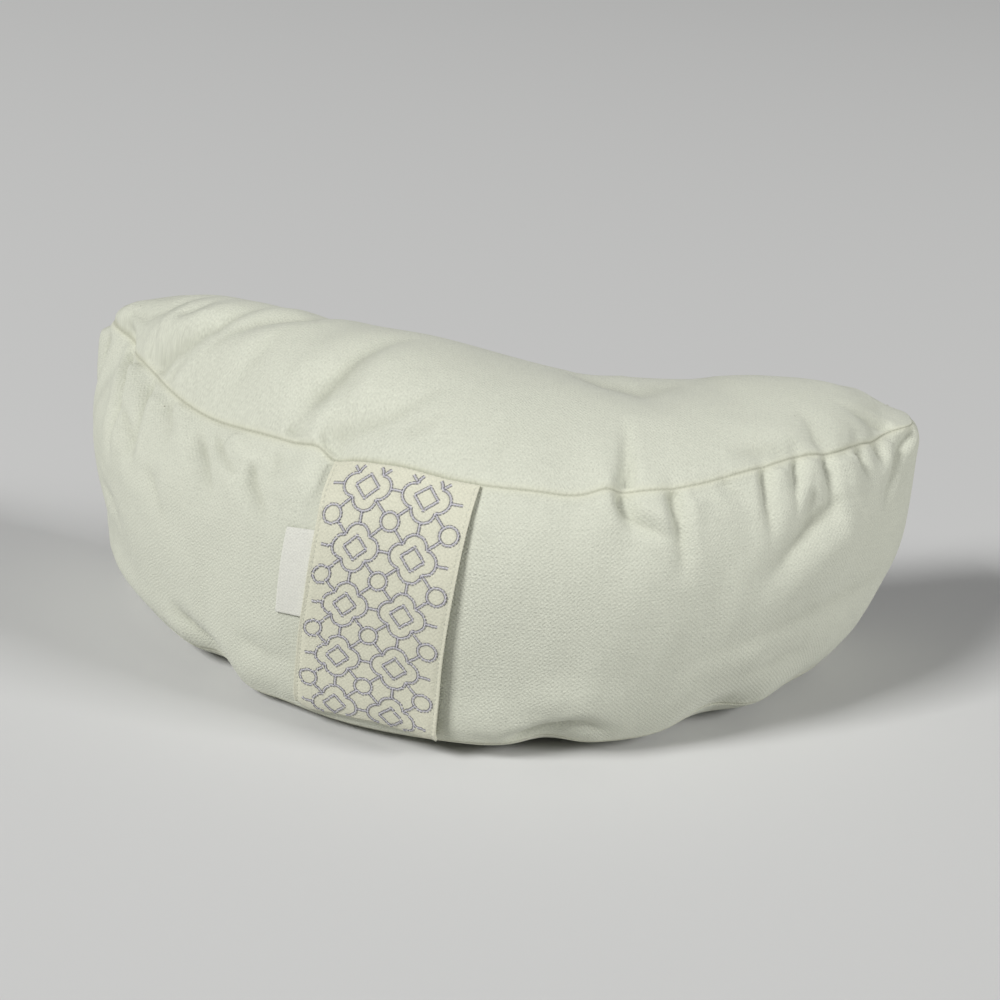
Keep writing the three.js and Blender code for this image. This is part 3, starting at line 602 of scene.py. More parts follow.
@lru_cache(maxsize=2)
def make_grid(fine):
    """The cushion's three panels as grids of points in mm, before its folds: a coarse or a fine set."""
    if fine:
        shares = crowded(
            DRAWN.along, lambda share: 1 + 1.3 * np.exp(-((share - HIDDEN_AT) / HIDDEN_REACH) ** 6))
        across = crowded(DRAWN.across, near_ends(0.16, 0.05))
        seams = near_ends(0.3, 0.03)
        downs = crowded(DRAWN.down, lambda share: seams(share) * (1 - 0.45 * bell(share - 0.12, 0.28)))
    else:
        shares = crowded(SETTLED.along, np.ones_like)
        across = crowded(SETTLED.across, near_ends(0.6, 0.1))
        downs = np.linspace(0, 1, SETTLED.down + 1)
    last, cells = len(shares) - 1, len(across) - 1
    front, hollow = spaced(front_seam, shares), spaced(hollow_seam, shares)
    top = top_panel(front, hollow, across)
    ring = make_ring(rim(top)[:, :2], last, cells)
    rings = wall_rings(ring, downs)

    def depths():
        drops = np.linalg.norm(np.diff(rings, axis=0), axis=2)
        return np.r_[np.zeros((1, rings.shape[1])), np.cumsum(drops, 0)]

    depth = depths()
    rings += seam_moves(ring, BASE_SEAM_SHIFTS) * bell(depth[-1] - depth, SHIFT_REACH)[..., None]
    pushes = [(TOP_SEAM_SHIFTS, SHIFT_REACH)]
    if fine:
        # A fold that starts at the seam draws a small scallop in it
        pushes.append(([
            Shift(fold.path[0][0], 1.2 * fold.width, 0.2 * fold.height, -0.2 * fold.height)
            for fold in WALL_FOLDS if fold.path[0][1] < 4 and fold.height < 0], SCALLOP_REACH))
    for shifts, reach in pushes:
        moves = seam_moves(ring, shifts)
        rings += moves * bell(depth, reach)[..., None]
        push_panel(top, moves, reach)
    rings[0] = rim(top)
    base = base_panel(rings[-1], last, cells)
    return Grid(shares, across, downs, ring, top, rings, base, depths())


def crease(share):
    """A crease with a sharp foot and a little fulness on either side."""
    return 0.5 * np.exp(-(2.2 * share) ** 1.4) + 0.5 * bell(share, 1) - 0.25 * bell(share - 1.9, 0.9)


def fold_height(folds, points):
    """Height of all folds of a table over the places of a panel, and how much painted shade their feet get.
    """
    height, shade = np.zeros(points.shape[:-1]), np.zeros(points.shape[:-1])
    for fold in folds:
        path = np.array(fold.path, float)
        run = shares_of(path)[0]
        nearest, place = np.full(height.shape, np.inf), np.zeros(height.shape)
        for start, end, before, after in zip(path, path[1:], run, run[1:]):
            held = np.clip((points - start) @ (end - start) / ((end - start) @ (end - start)), 0, 1)
            away = np.linalg.norm(points - start - held[..., None] * (end - start), axis=-1)
            place = np.where(away < nearest, before + held * (after - before), place)
            nearest = np.minimum(away, nearest)
        share = nearest / fold.width
        shape = crease(share) if fold.height < 0 else bell(share, 1)
        grown = np.clip(place / fold.rise, 0, 1) if fold.rise else 1
        height += fold.height * grown * (1 - FOLD_FADE * place ** 2) * shape
        if fold.height < 0:
            # Painted shade at the valley's foot, strongest for deep folds
            foot = np.minimum(1, -fold.height / DEEP_FOLD) * bell(nearest, FOOT_SHARE * fold.width)
            shade = np.maximum(shade, grown * (1 - place ** 3) * foot)
    return height, shade


def quads(*corners):
    return np.stack([corner.ravel() for corner in corners], -1)


Layout = namedtuple("Layout", "faces top wall base")


def lay_out(grid):
    """Numbers the points of the closed shell, and lists its faces: top, wall, base."""
    rows, columns = grid.top.shape[:2]
    top = np.arange(rows * columns).reshape(rows, columns)
    around = rim(top)
    middle = np.arange((len(grid.rings) - 2) * len(around)).reshape(-1, len(around)) + top.size
    base = top + top.size + middle.size
    wall = np.concatenate([around[None], middle, rim(base)[None]])
    ahead = np.roll(wall, -1, 1)
    faces = np.concatenate([
        quads(top[:-1, :-1], top[1:, :-1], top[1:, 1:], top[:-1, 1:]),
        quads(wall[:-1], wall[1:], ahead[1:], ahead[:-1]),
        quads(base[:-1, :-1], base[:-1, 1:], base[1:, 1:], base[1:, :-1])])
    return Layout(faces, top, wall, base)


def shell_points(top, rings, base):
    return np.concatenate([top.reshape(-1, 3), rings[1:-1].reshape(-1, 3), base.reshape(-1, 3)])


def face_normals(points, faces):
    """Outward directions at the points of a shell of quads."""
    a, b, c, d = (points[faces[:, k]] for k in range(4))
    normal = np.cross(c - a, d - b)
    total = np.zeros_like(points)
    for k in range(4):
        np.add.at(total, faces[:, k], normal)
    return total / np.linalg.norm(total, axis=1)[:, None]


def resample(field, at, axis=0, wrap=False):
    """Values between grid lines along one axis, by smooth curves."""
    field = np.moveaxis(field, axis, 0)
    first = np.floor(at).astype(int)
    t = (at - first).reshape(-1, *[1] * (field.ndim - 1))
    fit = (lambda i: i % len(field)) if wrap else (lambda i: np.clip(i, 0, len(field) - 1))
    a, b, c, d = (field[fit(first + k)] for k in (-1, 0, 1, 2))
    value = b + 0.5 * t * (c - a + t * (2 * a - 5 * b + 4 * c - d + t * (3 * (b - c) + d - a)))
    return np.moveaxis(value, 0, axis)


# Helpers for meshes and materials

def mesh_object(name, points, faces, cloth=None):
    """A mesh object from points in metres, with the cloth's coordinates as its UV map."""
    mesh = bpy.data.meshes.new(name)
    mesh.from_pydata([tuple(p) for p in points], [], [tuple(int(i) for i in f) for f in faces])
    if cloth is not None:
        layer = mesh.uv_layers.new(name="cloth")
        layer.data.foreach_set("uv", np.asarray(cloth, float).ravel())
    mesh.update()
    mesh.shade_smooth()
    made = bpy.data.objects.new(name, mesh)
    bpy.context.scene.collection.objects.link(made)
    return made


def coordinates(mesh):
    flat = np.empty(len(mesh.vertices) * 3)
    mesh.vertices.foreach_get("co", flat)
    return flat.reshape(-1, 3)


def subdivide(piece):
    """Rounds a piece by one subdivision."""
    grow = piece.modifiers.new("fine", "SUBSURF")
    grow.levels = grow.render_levels = 1
    bpy.context.view_layer.update()
    with bpy.context.temp_override(object=piece, active_object=piece, selected_objects=[piece]):
        bpy.ops.object.modifier_apply(modifier=grow.name)


def node(tree, kind, inputs=None, **settings):
    """Adds a node, sets its properties, and links or sets its inputs."""
    made = tree.nodes.new(kind)
    for name, value in settings.items():
        setattr(made, name, value)
    for name, value in (inputs or {}).items():
        if isinstance(value, bpy.types.NodeSocket):
            tree.links.new(value, made.inputs[name])
        else:
            made.inputs[name].default_value = value
    return made


def new_material(name):
    material = bpy.data.materials.new(name)
    material.use_nodes = True
    material.node_tree.nodes.clear()
    return material, material.node_tree


def woven_cotton(name, colour, seam_light, pitch, relief, mottle, seeds=0.0):
    """
    Plain-woven unbleached cotton: matt and a little fuzzy, with uneven threads, pale patches and seed
    flecks. The threads are drawn about twice as coarse as real ones, so that they show in a picture.
    """
    material, tree = new_material(name)
    cloth = node(tree, "ShaderNodeUVMap", uv_map="cloth").outputs["UV"]
    split = node(tree, "ShaderNodeSeparateXYZ", {"Vector": cloth})

    def sum_of(first, second, operation="ADD"):
        return node(tree, "ShaderNodeMath", {0: first, 1: second}, operation=operation).outputs[0]

    def times(first, second):
        return sum_of(first, second, "MULTIPLY")

    def centred_noise(scale, stretch, detail=2.0):
        place = node(tree, "ShaderNodeVectorMath", {0: cloth, 1: (*stretch, 1)}, operation="MULTIPLY")
        noise = node(tree, "ShaderNodeTexNoise", {
            "Vector": place.outputs[0], "Scale": scale, "Detail": detail, "Roughness": 0.65})
        return sum_of(noise.outputs["Fac"], -0.5)

    # Neighbouring crossings bulge and dip in turn; the threads wander a little
    wander = times(centred_noise(0.11, (1, 1)), 2.4 * pitch)
    threads = [
        sum_of(times(sum_of(split.outputs[axis], wander), math.pi / pitch), 0.0, "SINE")
        for axis in ("X", "Y")]
    crossings = times(*threads)
    slubs = sum_of(centred_noise(0.75, (0.1, 1.0)), centred_noise(0.75, (1.0, 0.13)))
    grain = centred_noise(1.15, (1, 1), 3.0)
    patches = centred_noise(0.018, (1, 1), 3.0)
    weave = sum_of(
        sum_of(times(crossings, IN_RELIEF.crossings), times(threads[1], IN_RELIEF.weft)),
        sum_of(times(slubs, IN_RELIEF.slubs), times(grain, IN_RELIEF.grain)))
    bump = node(tree, "ShaderNodeBump", {"Height": weave, "Strength": relief, "Distance": 0.3 * MM})

    # Fuzz and uneven threads show as a fine grain of light and dark
    fleck = sum_of(
        times(grain, IN_TONE.grain),
        sum_of(times(slubs, IN_TONE.slubs), times(crossings, IN_TONE.crossings)))
    tone = sum_of(times(patches, mottle * 2), sum_of(fleck, 1.0))
    light = node(tree, "ShaderNodeHueSaturation", {"Color": (*colour, 1), "Value": tone}).outputs["Color"]

    def tinted(base, share, tint):
        mix = node(tree, "ShaderNodeMix", {"Factor": share, 6: base, 7: (*tint, 1)}, data_type="RGBA")
        return mix.outputs[2]

    # Painted light and shade: a warmer, yellower cream is painted beside the seams for the light they
    # reflect, and painted shade darkens the seam's groove and deep folds
    beside = node(tree, "ShaderNodeAttribute", attribute_name="near_seam").outputs["Fac"]
    light = tinted(light, times(beside, SEAM_LIGHT_SHARE), seam_light)
    inside = node(tree, "ShaderNodeAttribute", attribute_name="in_shade").outputs["Fac"]
    light = tinted(light, times(inside, SHADE_SHARE), linear(SHADE_COLOUR))
    if seeds:
        spots = node(tree, "ShaderNodeTexVoronoi", {"Vector": cloth, "Scale": seeds, "Randomness": 1.0})
        size = sum_of(times(centred_noise(0.3, (1, 1)), SEED_SPREAD), SEED_SIZE)
        seed = sum_of(spots.outputs["Distance"], size, "LESS_THAN")
        light = tinted(light, times(seed, SEED_SHARE), linear(SEED_COLOUR))
    shader = node(tree, "ShaderNodeBsdfPrincipled", {
        "Base Color": light, "Roughness": 0.92, "IOR": 1.47, "Specular IOR Level": 0.2,
        "Sheen Weight": 0.15, "Sheen Roughness": 0.5, "Normal": bump.outputs["Normal"]})
    node(tree, "ShaderNodeOutputMaterial", {"Surface": shader.outputs["BSDF"]})
    return material


def spun_thread(name, colour, roughness, sheen):
    """
    Twisted thread: softly lustrous, with the twist drawn as slanting bands about 0.7 mm apart. A real
    twist is finer, and too fine to show.
    """
    material, tree = new_material(name)
    place = node(tree, "ShaderNodeTexCoord").outputs["Object"]
    twist = node(tree, "ShaderNodeTexWave", {
        "Vector": place, "Scale": 900.0, "Distortion": 3.0, "Detail": 1.0}, bands_direction="DIAGONAL")
    bump = node(tree, "ShaderNodeBump", {
        "Height": twist.outputs["Fac"], "Strength": 0.5, "Distance": 0.1 * MM})
    tone = node(tree, "ShaderNodeMapRange", {
        "Value": twist.outputs["Fac"], "To Min": 0.86, "To Max": 1.08})
    light = node(tree, "ShaderNodeHueSaturation", {
        "Color": (*colour, 1), "Value": tone.outputs["Result"]})
    shader = node(tree, "ShaderNodeBsdfPrincipled", {
        "Base Color": light.outputs["Color"], "Roughness": roughness, "IOR": 1.5,
        "Sheen Weight": sheen, "Sheen Roughness": 0.4, "Normal": bump.outputs["Normal"]})
    node(tree, "ShaderNodeOutputMaterial", {"Surface": shader.outputs["BSDF"]})
    return material


def finish_piece(piece, material):
    """Gives a piece its material and slot, and fixes it to the cushion's one body."""
    piece.data.materials.clear()
    piece.data.materials.append(material)
    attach(piece, "root")


# The filled cover

def settle(points, layout, edge, gathers):
    """
    Inner pressure draws the cloth tight between its seams, as filling does. The seams and the base are
    held, and the cloth is cut a little too long where it is gathered. Gives each point's move in mm.
    """
    normal = face_normals(points, layout.faces)
    flat = layout.base[points[layout.base][..., 2] < LIES_BELOW]
    slack = SWELL * (1 - bell(edge, SLACK_START))
    slack[flat] = 0
    start = points - normal * slack[:, None]
    pad = mesh_object("settling", start * MM, layout.faces)
    held = pad.vertex_groups.new(name="held")
    held.add(np.unique(np.r_[layout.wall[0], layout.wall[-1], flat]).tolist(), 1.0, "REPLACE")
    full = pad.vertex_groups.new(name="gathered")
    for i in np.flatnonzero(gathers > 0.01):
        full.add([int(i)], float(gathers[i]), "REPLACE")
    cloth = pad.modifiers.new("settle", "CLOTH")
    settings = cloth.settings
    settings.quality = 5
    settings.mass = 0.3
    settings.tension_stiffness = settings.compression_stiffness = 25
    settings.shear_stiffness = 12
    settings.bending_stiffness = 0.8
    settings.use_pressure = True
    settings.uniform_pressure_force = 9
    settings.vertex_group_mass = held.name
    settings.vertex_group_shrink = full.name
    settings.shrink_min, settings.shrink_max = 0, -MOST_GATHER
    settings.effector_weights.gravity = 0
    cloth.collision_settings.use_collision = False
    cloth.point_cache.frame_start, cloth.point_cache.frame_end = 1, STEPS
    for step in range(1, STEPS + 1):
        bpy.context.scene.frame_set(step)
    seen = pad.evaluated_get(bpy.context.evaluated_depsgraph_get())
    move = coordinates(seen.data) / MM - start
    bpy.data.objects.remove(pad)
    bpy.context.scene.frame_set(1)
    length = np.linalg.norm(move, axis=1)
    move *= (np.tanh(length / CAP) * CAP / np.maximum(length, 1e-9))[:, None]
    move += start - points
    across = (move * normal).sum(1)
    for name, ids in (("top", layout.top), ("wall", layout.wall), ("base", layout.base)):
        print("settled", name, "mean", round(float(across[ids].mean()), 2), "mm, from",
              round(float(across[ids].min()), 2), "to", round(float(across[ids].max()), 2))
    return move


def carried_over(move, layout, coarse, fine):
    """Moves of the coarse panels read at the points of the fine ones."""
    at_front = np.interp(fine.shares, coarse.shares, np.arange(len(coarse.shares)))
    at_across = np.interp(fine.across, coarse.across, np.arange(len(coarse.across)))
    at_down = np.interp(fine.downs, coarse.downs, np.arange(len(coarse.downs)))
    last, cells = len(coarse.shares) - 1, len(coarse.across) - 1
    at_ring = np.concatenate([
        at_front[:-1], last + at_across[:-1],
        (2 * last + cells - at_front[::-1])[:-1], (2 * last + 2 * cells - at_across[::-1])[:-1]])
    top, base = (
        resample(resample(move[ids], at_front, 0), at_across, 1) for ids in (layout.top, layout.base))
    wall = resample(resample(move[layout.wall], at_down, 0), at_ring, 1, wrap=True)
    return top, wall, base


def puckers(ring_turn, away):
    """Fine ripples that the stitches draw in the cloth beside a seam."""
    wave = np.sin(PUCKERS * ring_turn + 2.2 * np.sin(61 * ring_turn))
    swell = 0.55 + 0.45 * np.sin(23 * ring_turn + 1)
    return PUCKER_HEIGHT * wave * swell * bell(away - PUCKER_AT, PUCKER_REACH) * (1 - bell(away, 1))


def seam_relief(away):
    """A fine groove at the seam, and the turned-in cloth standing up a little beside it."""
    turned = TURNED_HEIGHT * bell(away - TURNED_AT, TURNED_WIDTH)
    return turned - GROOVE_DEPTH * bell(away, GROOVE_WIDTH)


def settled_moves(fine):
    """How far the filling moves each point of the drawn top, wall and base, in mm."""
    coarse = make_grid(False)
    layout = lay_out(coarse)
    points = shell_points(coarse.top, coarse.rings, coarse.base)
    edge, gathers = np.zeros(len(points)), np.zeros(len(points))
    edge[layout.top] = np.minimum.reduce(edge_runs(coarse.top))
    edge[layout.base] = np.minimum.reduce(edge_runs(coarse.base))
    edge[layout.wall] = np.minimum(coarse.depth, coarse.depth[-1] - coarse.depth)
    smooth = bell(coarse.ring.along - SMOOTH_AT, SMOOTH_SPREAD)
    gathers[layout.wall] = (1 - smooth) * np.clip(GATHER_TOP - coarse.depth / GATHER_DROP, GATHER_FOOT, 1)
    gathers[layout.top] = TOP_GATHER
    return carried_over(settle(points, layout, edge, gathers), layout, coarse, fine)


def relief(fine, layout):
    """
    At each point of the cover, the height of its folds, puckers and seams in mm, the way to the next
    seam in mm, and how much painted shade of a fold it gets.
    seam in mm, and how much it lies in the shade of a fold.
    """
    ring, depth = fine.ring, fine.depth
    height, edge, valley = np.zeros((3, layout.base.max() + 1))
    turn = 2 * math.pi * ring.along / ring.whole
    last, cells = len(fine.shares) - 1, len(fine.across) - 1

    runs = edge_runs(fine.top)
    front, hollow = runs[2:]
    away = np.minimum.reduce(runs)
    free = 1 - bell(away, SEAM_HOLD)
    folds, feet = fold_height(TOP_FOLDS, fine.top[..., :2])
    at_front, at_hollow = turn[:last + 1, None], turn[2 * last + cells - np.arange(last + 1)][:, None]
    valley[layout.top] = free * feet
    height[layout.top] = free * (
        folds + 0.5 * puckers(at_front, front) + 0.5 * puckers(at_hollow, hollow)) + seam_relief(away)
    edge[layout.top] = away

    inner, foot = layout.wall[1:-1], depth[-1] - depth
    away = np.minimum(depth, foot)
    free = 1 - bell(away, SEAM_HOLD)
    ripple = sum(
        row.height * np.sin(
            row.waves_along * turn + 2 * math.pi * row.waves_down * depth / RIPPLE_DROP + row.phase)
        for row in RIPPLES) * (1 - bell(away, RIPPLE_START))
    folds, feet = fold_height(WALL_FOLDS, np.stack([np.broadcast_to(ring.along, depth.shape), depth], -1))
    valley[inner] = (free * feet)[1:-1]
    height[inner] = (free * (
        folds + ripple + puckers(turn, depth) + puckers(turn, foot)) + seam_relief(away))[1:-1]
    edge[inner] = away[1:-1]

    away = np.minimum.reduce(edge_runs(fine.base))
    height[layout.base] = seam_relief(away)
    edge[layout.base] = away
    return height, edge, valley


def cloth_places(fine, points, faces):
    """The cloth's own coordinates at the corners of each face in mm: seen from above, or round and down."""
    depth, drop = fine.depth, np.roll(fine.depth, -1, 1)
    around = np.broadcast_to(fine.ring.along, depth.shape)
    ahead = around + fine.ring.step
    wall = np.stack([
        np.stack([around[:-1], depth[:-1]], -1), np.stack([around[1:], depth[1:]], -1),
        np.stack([ahead[1:], drop[1:]], -1), np.stack([ahead[:-1], drop[:-1]], -1)], 2)
    plan = points[:, :2]
    panel = (len(fine.shares) - 1) * (len(fine.across) - 1)
    return np.concatenate([plan[faces[:panel]], wall.reshape(-1, 4, 2), plan[faces[len(faces) - panel:]]])


class CUSHION_OT_cover(bpy.types.Operator):
    """Build the filled cotton cover with its crown, drawn-in seams and folds"""
    bl_idname = "cushion.make_cover"
    bl_label = "Filled cover"

    def execute(self, context):
        fine = make_grid(True)
        layout = lay_out(fine)
        faces = layout.faces
        panels = fine.top, fine.rings, fine.base
        panels = [panel + move for panel, move in zip(panels, settled_moves(fine))]
        points = shell_points(*panels)
        height, edge, valley = relief(fine, layout)
        points = points + face_normals(points, faces) * height[:, None]
        points[:, 2] = np.maximum(points[:, 2], 0)
        cover = mesh_object(
            "cushion_cover", (points + FRAME_SHIFT) * MM, faces, cloth_places(fine, points, faces))
        # Painted shade within the groove's width of a seam and at the feet of folds
        shade = np.maximum(bell(edge, GROOVE_WIDTH), FOLD_SHADE * valley)
        for name, values in (("near_seam", bell(edge, SEAM_LIGHT_REACH)), ("in_shade", shade)):
            cover.data.attributes.new(name, "FLOAT", "POINT").data.foreach_set("value", values)
        colour = colours()
        # colour.turned is the painted warm light beside the seams, shown through the near_seam attribute
        cotton = woven_cotton(
            "unbleached_cotton_canvas", colour.cotton, colour.turned, sizes().thread_pitch, 0.8, 0.05, 0.03)
        finish_piece(cover, cotton)
        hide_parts("cushion")
        return {"FINISHED"}


# Pieces laid on the wall

def wall_place(along, down):
    """A place on the smooth front wall and the direction out of it, in metres."""
    grid = make_grid(True)
    ring, depth, rings = grid.ring, grid.depth, grid.rings
    last = len(grid.shares) - 1
    column = int(np.clip(np.searchsorted(ring.along[:last + 1], along) - 1, 0, last - 1))
    row = int(np.clip(np.searchsorted(depth[:, column], down) - 1, 0, len(depth) - 2))
    across = (along - ring.along[column]) / (ring.along[column + 1] - ring.along[column])
    drop = (down - depth[row, column]) / (depth[row + 1, column] - depth[row, column])
    above, below = rings[row], rings[row + 1]
    left = above[column] * (1 - drop) + below[column] * drop
    right = above[column + 1] * (1 - drop) + below[column + 1] * drop
    out = np.cross(right - left, above[column] - below[column])
    place = left * (1 - across) + right * across + FRAME_SHIFT
    return place * MM, out / np.linalg.norm(out)


def met_from_outside(tree, place, out):
    """How far out of a place a surface is met, in metres."""
    above = 30 * MM
    hit = tree.ray_cast(Vector(place + out * above), Vector(-out), 2 * above)[0]
    if hit is None:
        raise RuntimeError("no surface under a piece that should lie on it")
    return float((np.array(hit) - place) @ out)


def smoothed(field, rounds):
    """A grid of numbers, each round set to the mean of its neighbours."""
    for _ in range(rounds):
        wide = np.pad(field, 1, mode="edge")
        field = (wide[:-2, 1:-1] + wide[2:, 1:-1] + wide[1:-1, :-2] + wide[1:-1, 2:]) / 4
    return field


def laid_sheet(name, tree, shares, downs, place_of, thickness):
    """
    A closed sheet over the wall, its outer and inner face joined round a folded edge. place_of gives
    the run along the seam, the depth, the gap under the sheet, and the cloth's own width and length.
    """
    shape = (len(downs), len(shares))
    places, outs = np.empty((*shape, 3)), np.empty((*shape, 3))
    reach, gaps, cloth = np.empty(shape), np.empty(shape), np.empty((*shape, 2))
    for i, down in enumerate(downs):
        for j, across in enumerate(shares):
            along, depth, gaps[i, j], *cloth[i, j] = place_of(across, down)
            places[i, j], outs[i, j] = wall_place(along, depth)
            reach[i, j] = met_from_outside(tree, places[i, j], outs[i, j])
    # Stretched cloth spans the small hollows of what lies under it
    reach = np.maximum(smoothed(reach, SPANNING), reach) + gaps * MM
    reach = np.maximum(smoothed(reach, EASING), reach)
    inner = places + outs * reach[..., None]
    body = np.stack([inner, inner + outs * (thickness(cloth) * MM)[..., None]])
    low, high = np.arange(body[..., 0].size).reshape(body.shape[:3])
    faces = np.concatenate([
        quads(high[:-1, :-1], high[1:, :-1], high[1:, 1:], high[:-1, 1:]),
        quads(low[:-1, :-1], low[:-1, 1:], low[1:, 1:], low[1:, :-1]),
        quads(low[:-1, 0], low[1:, 0], high[1:, 0], high[:-1, 0]),
        quads(high[:-1, -1], high[1:, -1], low[1:, -1], low[:-1, -1]),
        quads(low[0, :-1], high[0, :-1], high[0, 1:], low[0, 1:]),
        quads(high[-1, :-1], low[-1, :-1], low[-1, 1:], high[-1, 1:])])
    flat = np.concatenate([cloth.reshape(-1, 2)] * 2)
    sheet = mesh_object(name, body.reshape(-1, 3), faces, flat[faces])
    edges = np.array([edge.vertices[:] for edge in sheet.data.edges])
    on_rim = np.zeros((2, body[0, ..., 0].size), bool)
    on_rim[:, rim(low)] = True
    on_rim = on_rim.ravel()
    corner = np.isin(edges % low.size, low[[0, 0, -1, -1], [0, -1, 0, -1]]).all(1)
    one_face = (edges // low.size == edges[:, :1] // low.size).all(1)
    folded = on_rim[edges].all(1) & (one_face | corner)
    creases = sheet.data.attributes.new("crease_edge", "FLOAT", "EDGE")
    creases.data.foreach_set("value", 0.7 * folded)
    subdivide(sheet)
    return sheet


def wall_length():
    """Length of the cloth in mm from the top seam to the base seam, in the middle of the front."""
    grid = make_grid(True)
    return float(grid.depth[-1, (len(grid.shares) - 1) // 2])


def band_edges(down):
    """Left and right edge of the band at a depth below the top seam."""
    size = sizes()
    left, right = (float(read(BAND_LEAN, down / wall_length(), side)) for side in ("left", "right"))
    return size.band_left + left, size.band_left + size.band_width + right


def surface_of(piece):
    """A search tree of a finished piece, for laying others on it."""
    return BVHTree.FromObject(piece, bpy.context.evaluated_depsgraph_get())


class CUSHION_OT_band(bpy.types.Operator):
    """Build the cotton band that is caught in both seams"""
    bl_idname = "cushion.make_band"
    bl_label = "Band"

    def execute(self, context):
        size = sizes()
        tree = surface_of(bpy.data.objects["cushion_cover"])
        length = wall_length()

        def place_of(across, down):
            depth = length * (BAND_TOP + BAND_SPAN * down)
            left, right = band_edges(depth)
            stand_off = BAND_STAND_OFF * across ** 5 * down ** 0.8 + 0.5 * (1 - across) ** 8
            caught = 1 - 0.8 * bell(down, 0.02) - 0.8 * bell(1 - down, 0.02)
            gap = (BAND_GAP + stand_off) * caught
            return left + (right - left) * across, depth, gap, size.band_width * across, depth

        def thickness(cloth):
            # Two layers, pressed in along the edge stitching
            from_edge = np.minimum(cloth[..., 0], size.band_width - cloth[..., 0])
            return size.band_thickness * (1 - 0.3 * bell(from_edge - HEM, 0.9))

        band = laid_sheet(
            "embroidered_band_cloth", tree, crowded(38, near_ends(0.35, 0.08)), np.linspace(0, 1, 57),
            place_of, thickness)
        colour = colours()
        # The cover's own cotton, doubled and pressed, so its weave looks flatter
        # colour.turned is the painted warm seam light; the band has no near_seam attribute, so none is
        # painted
        cotton = woven_cotton(
            "unbleached_cotton_band", colour.band, colour.turned, size.thread_pitch, 0.5, 0.03)
        finish_piece(band, cotton)
        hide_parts("embroidered_band")
        return {"FINISHED"}


class CUSHION_OT_label(bpy.types.Operator):
    """Build the folded white tape label beside the band"""
    bl_idname = "cushion.make_label"
    bl_label = "Label"

    def execute(self, context):
        size = sizes()
        tree = surface_of(bpy.data.objects["cushion_cover"])
        height = size.label_to - size.label_from

        def corner(side, down):
            """Along and depth of the label's corners: 0 is the free edge or the top."""
            depth = size.label_from + height * down - side * (LABEL_FOOT_RISE if down else LABEL_TOP_RISE)
            free_edge = size.band_left - size.label_width + LABEL_LEAN * (1 - down)
            return np.array([band_edges(depth)[0] + LABEL_TUCK if side else free_edge, depth])

        corners = {(side, down): corner(side, down) for side in (0, 1) for down in (0, 1)}
        levels = {key: wall_place(*place)[0][2] / MM for key, place in corners.items()}

        def between(values, across, down):
            left = values[0, 0] * (1 - down) + values[0, 1] * down
            return left * (1 - across) + (values[1, 0] * (1 - down) + values[1, 1] * down) * across

        def place_of(across, down):
            along, depth = between(corners, across, down)
            # The tape's edges are straight, though the seam above them isn't
            for _ in range(3):
                depth += wall_place(along, depth)[0][2] / MM - between(levels, across, down)
            gap = 0.15 + (0.6 + 0.3 * math.sin(3.2 * down + 0.5)) * (1 - across)
            return along, depth, gap, size.label_width * across, height * down

        label = laid_sheet(
            "label_tape", tree, np.linspace(0, 1, 14), np.linspace(0, 1, 37), place_of,
            lambda cloth: np.full(cloth.shape[:2], LABEL_THICKNESS))
        colour = colours()
        # Woven tape: whiter, finer and flatter than the cover
        tape = woven_cotton("white_cotton_tape", colour.label, colour.label, TAPE_PITCH, 0.35, 0.02)
        finish_piece(label, tape)
        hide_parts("label")
        return {"FINISHED"}


# Stitches

Mark = namedtuple("Mark", "place direction out length width height")


def stitch_mesh(name, marks):
    """Many small stitches as one mesh of four-sided spindles."""
    sides = 4
    # Places along a stitch and its girth there, as shares of its length and width
    rings = ((-0.5, 0.3), (-0.25, 0.95), (0.25, 0.95), (0.5, 0.3))
    points, faces = [], []
    for mark in marks:
        side = np.cross(mark.direction, mark.out)
        side /= np.linalg.norm(side)
        first = len(points)
        for share, girth in rings:
            middle = mark.place + mark.direction * mark.length * share
            middle = middle + mark.out * mark.height * (girth - 0.7) / 2
            for k in range(sides):
                angle = 2 * math.pi * k / sides
                points.append(middle + girth / 2 * (
                    side * math.cos(angle) * mark.width + mark.out * math.sin(angle) * mark.height))
        for r in range(len(rings) - 1):
            for k in range(sides):
                a, b = first + r * sides + k, first + r * sides + (k + 1) % sides
                faces.append((a, b, b + sides, a + sides))
        faces.append(tuple(first + k for k in reversed(range(sides))))
        faces.append(tuple(first + (len(rings) - 1) * sides + k for k in range(sides)))
    return mesh_object(name, points, faces)


def on_band(tree, across, down):
    """A place on the band's face from its own width and length in mm, and the direction out of it."""
    left, right = band_edges(down)
    place, out = wall_place(left + (right - left) * across / sizes().band_width, down)
    return place + out * met_from_outside(tree, place, out), out


def arc(centre, radius, start, end):
    """Points of an arc between two angles in degrees."""
    angle = np.radians(np.linspace(start, end, 33))
    return np.array(centre) + radius * np.stack([np.cos(angle), np.sin(angle)], -1)


def trellis(cell):
    """
    The lines of one repeat, about its middle: a four-lobed ring round a lozenge, a round ring on the
    corner, and ties between them.
    """
    lobe, ring, tie = LOBE * cell, CORNER_RING * cell, CORNER * cell
    inner, outer = lobe * 1.05, tie - ring * math.sqrt(0.5)
    lines = [
        arc((lobe, 0), lobe, -90, 90), arc((0, lobe), lobe, 0, 180),
        arc((-lobe, 0), lobe, 90, 270), arc((0, -lobe), lobe, 180, 360),
        arc((tie, tie), ring, 0, 360)]
    lines.append(lobe * np.array([(1, 0), (0, 1), (-1, 0), (0, -1), (1, 0)]))
    for x, y in ((1, 0), (0, 1)):
        lines.append(np.array([(x, y), (x, y)]) * np.array([[2 * lobe], [cell - 2 * lobe]]))
    for x, y in ((1, 1), (-1, 1), (-1, -1), (1, -1)):
        lines.append(np.array([(x * inner, y * inner), (x * outer, y * outer)]))
    return lines


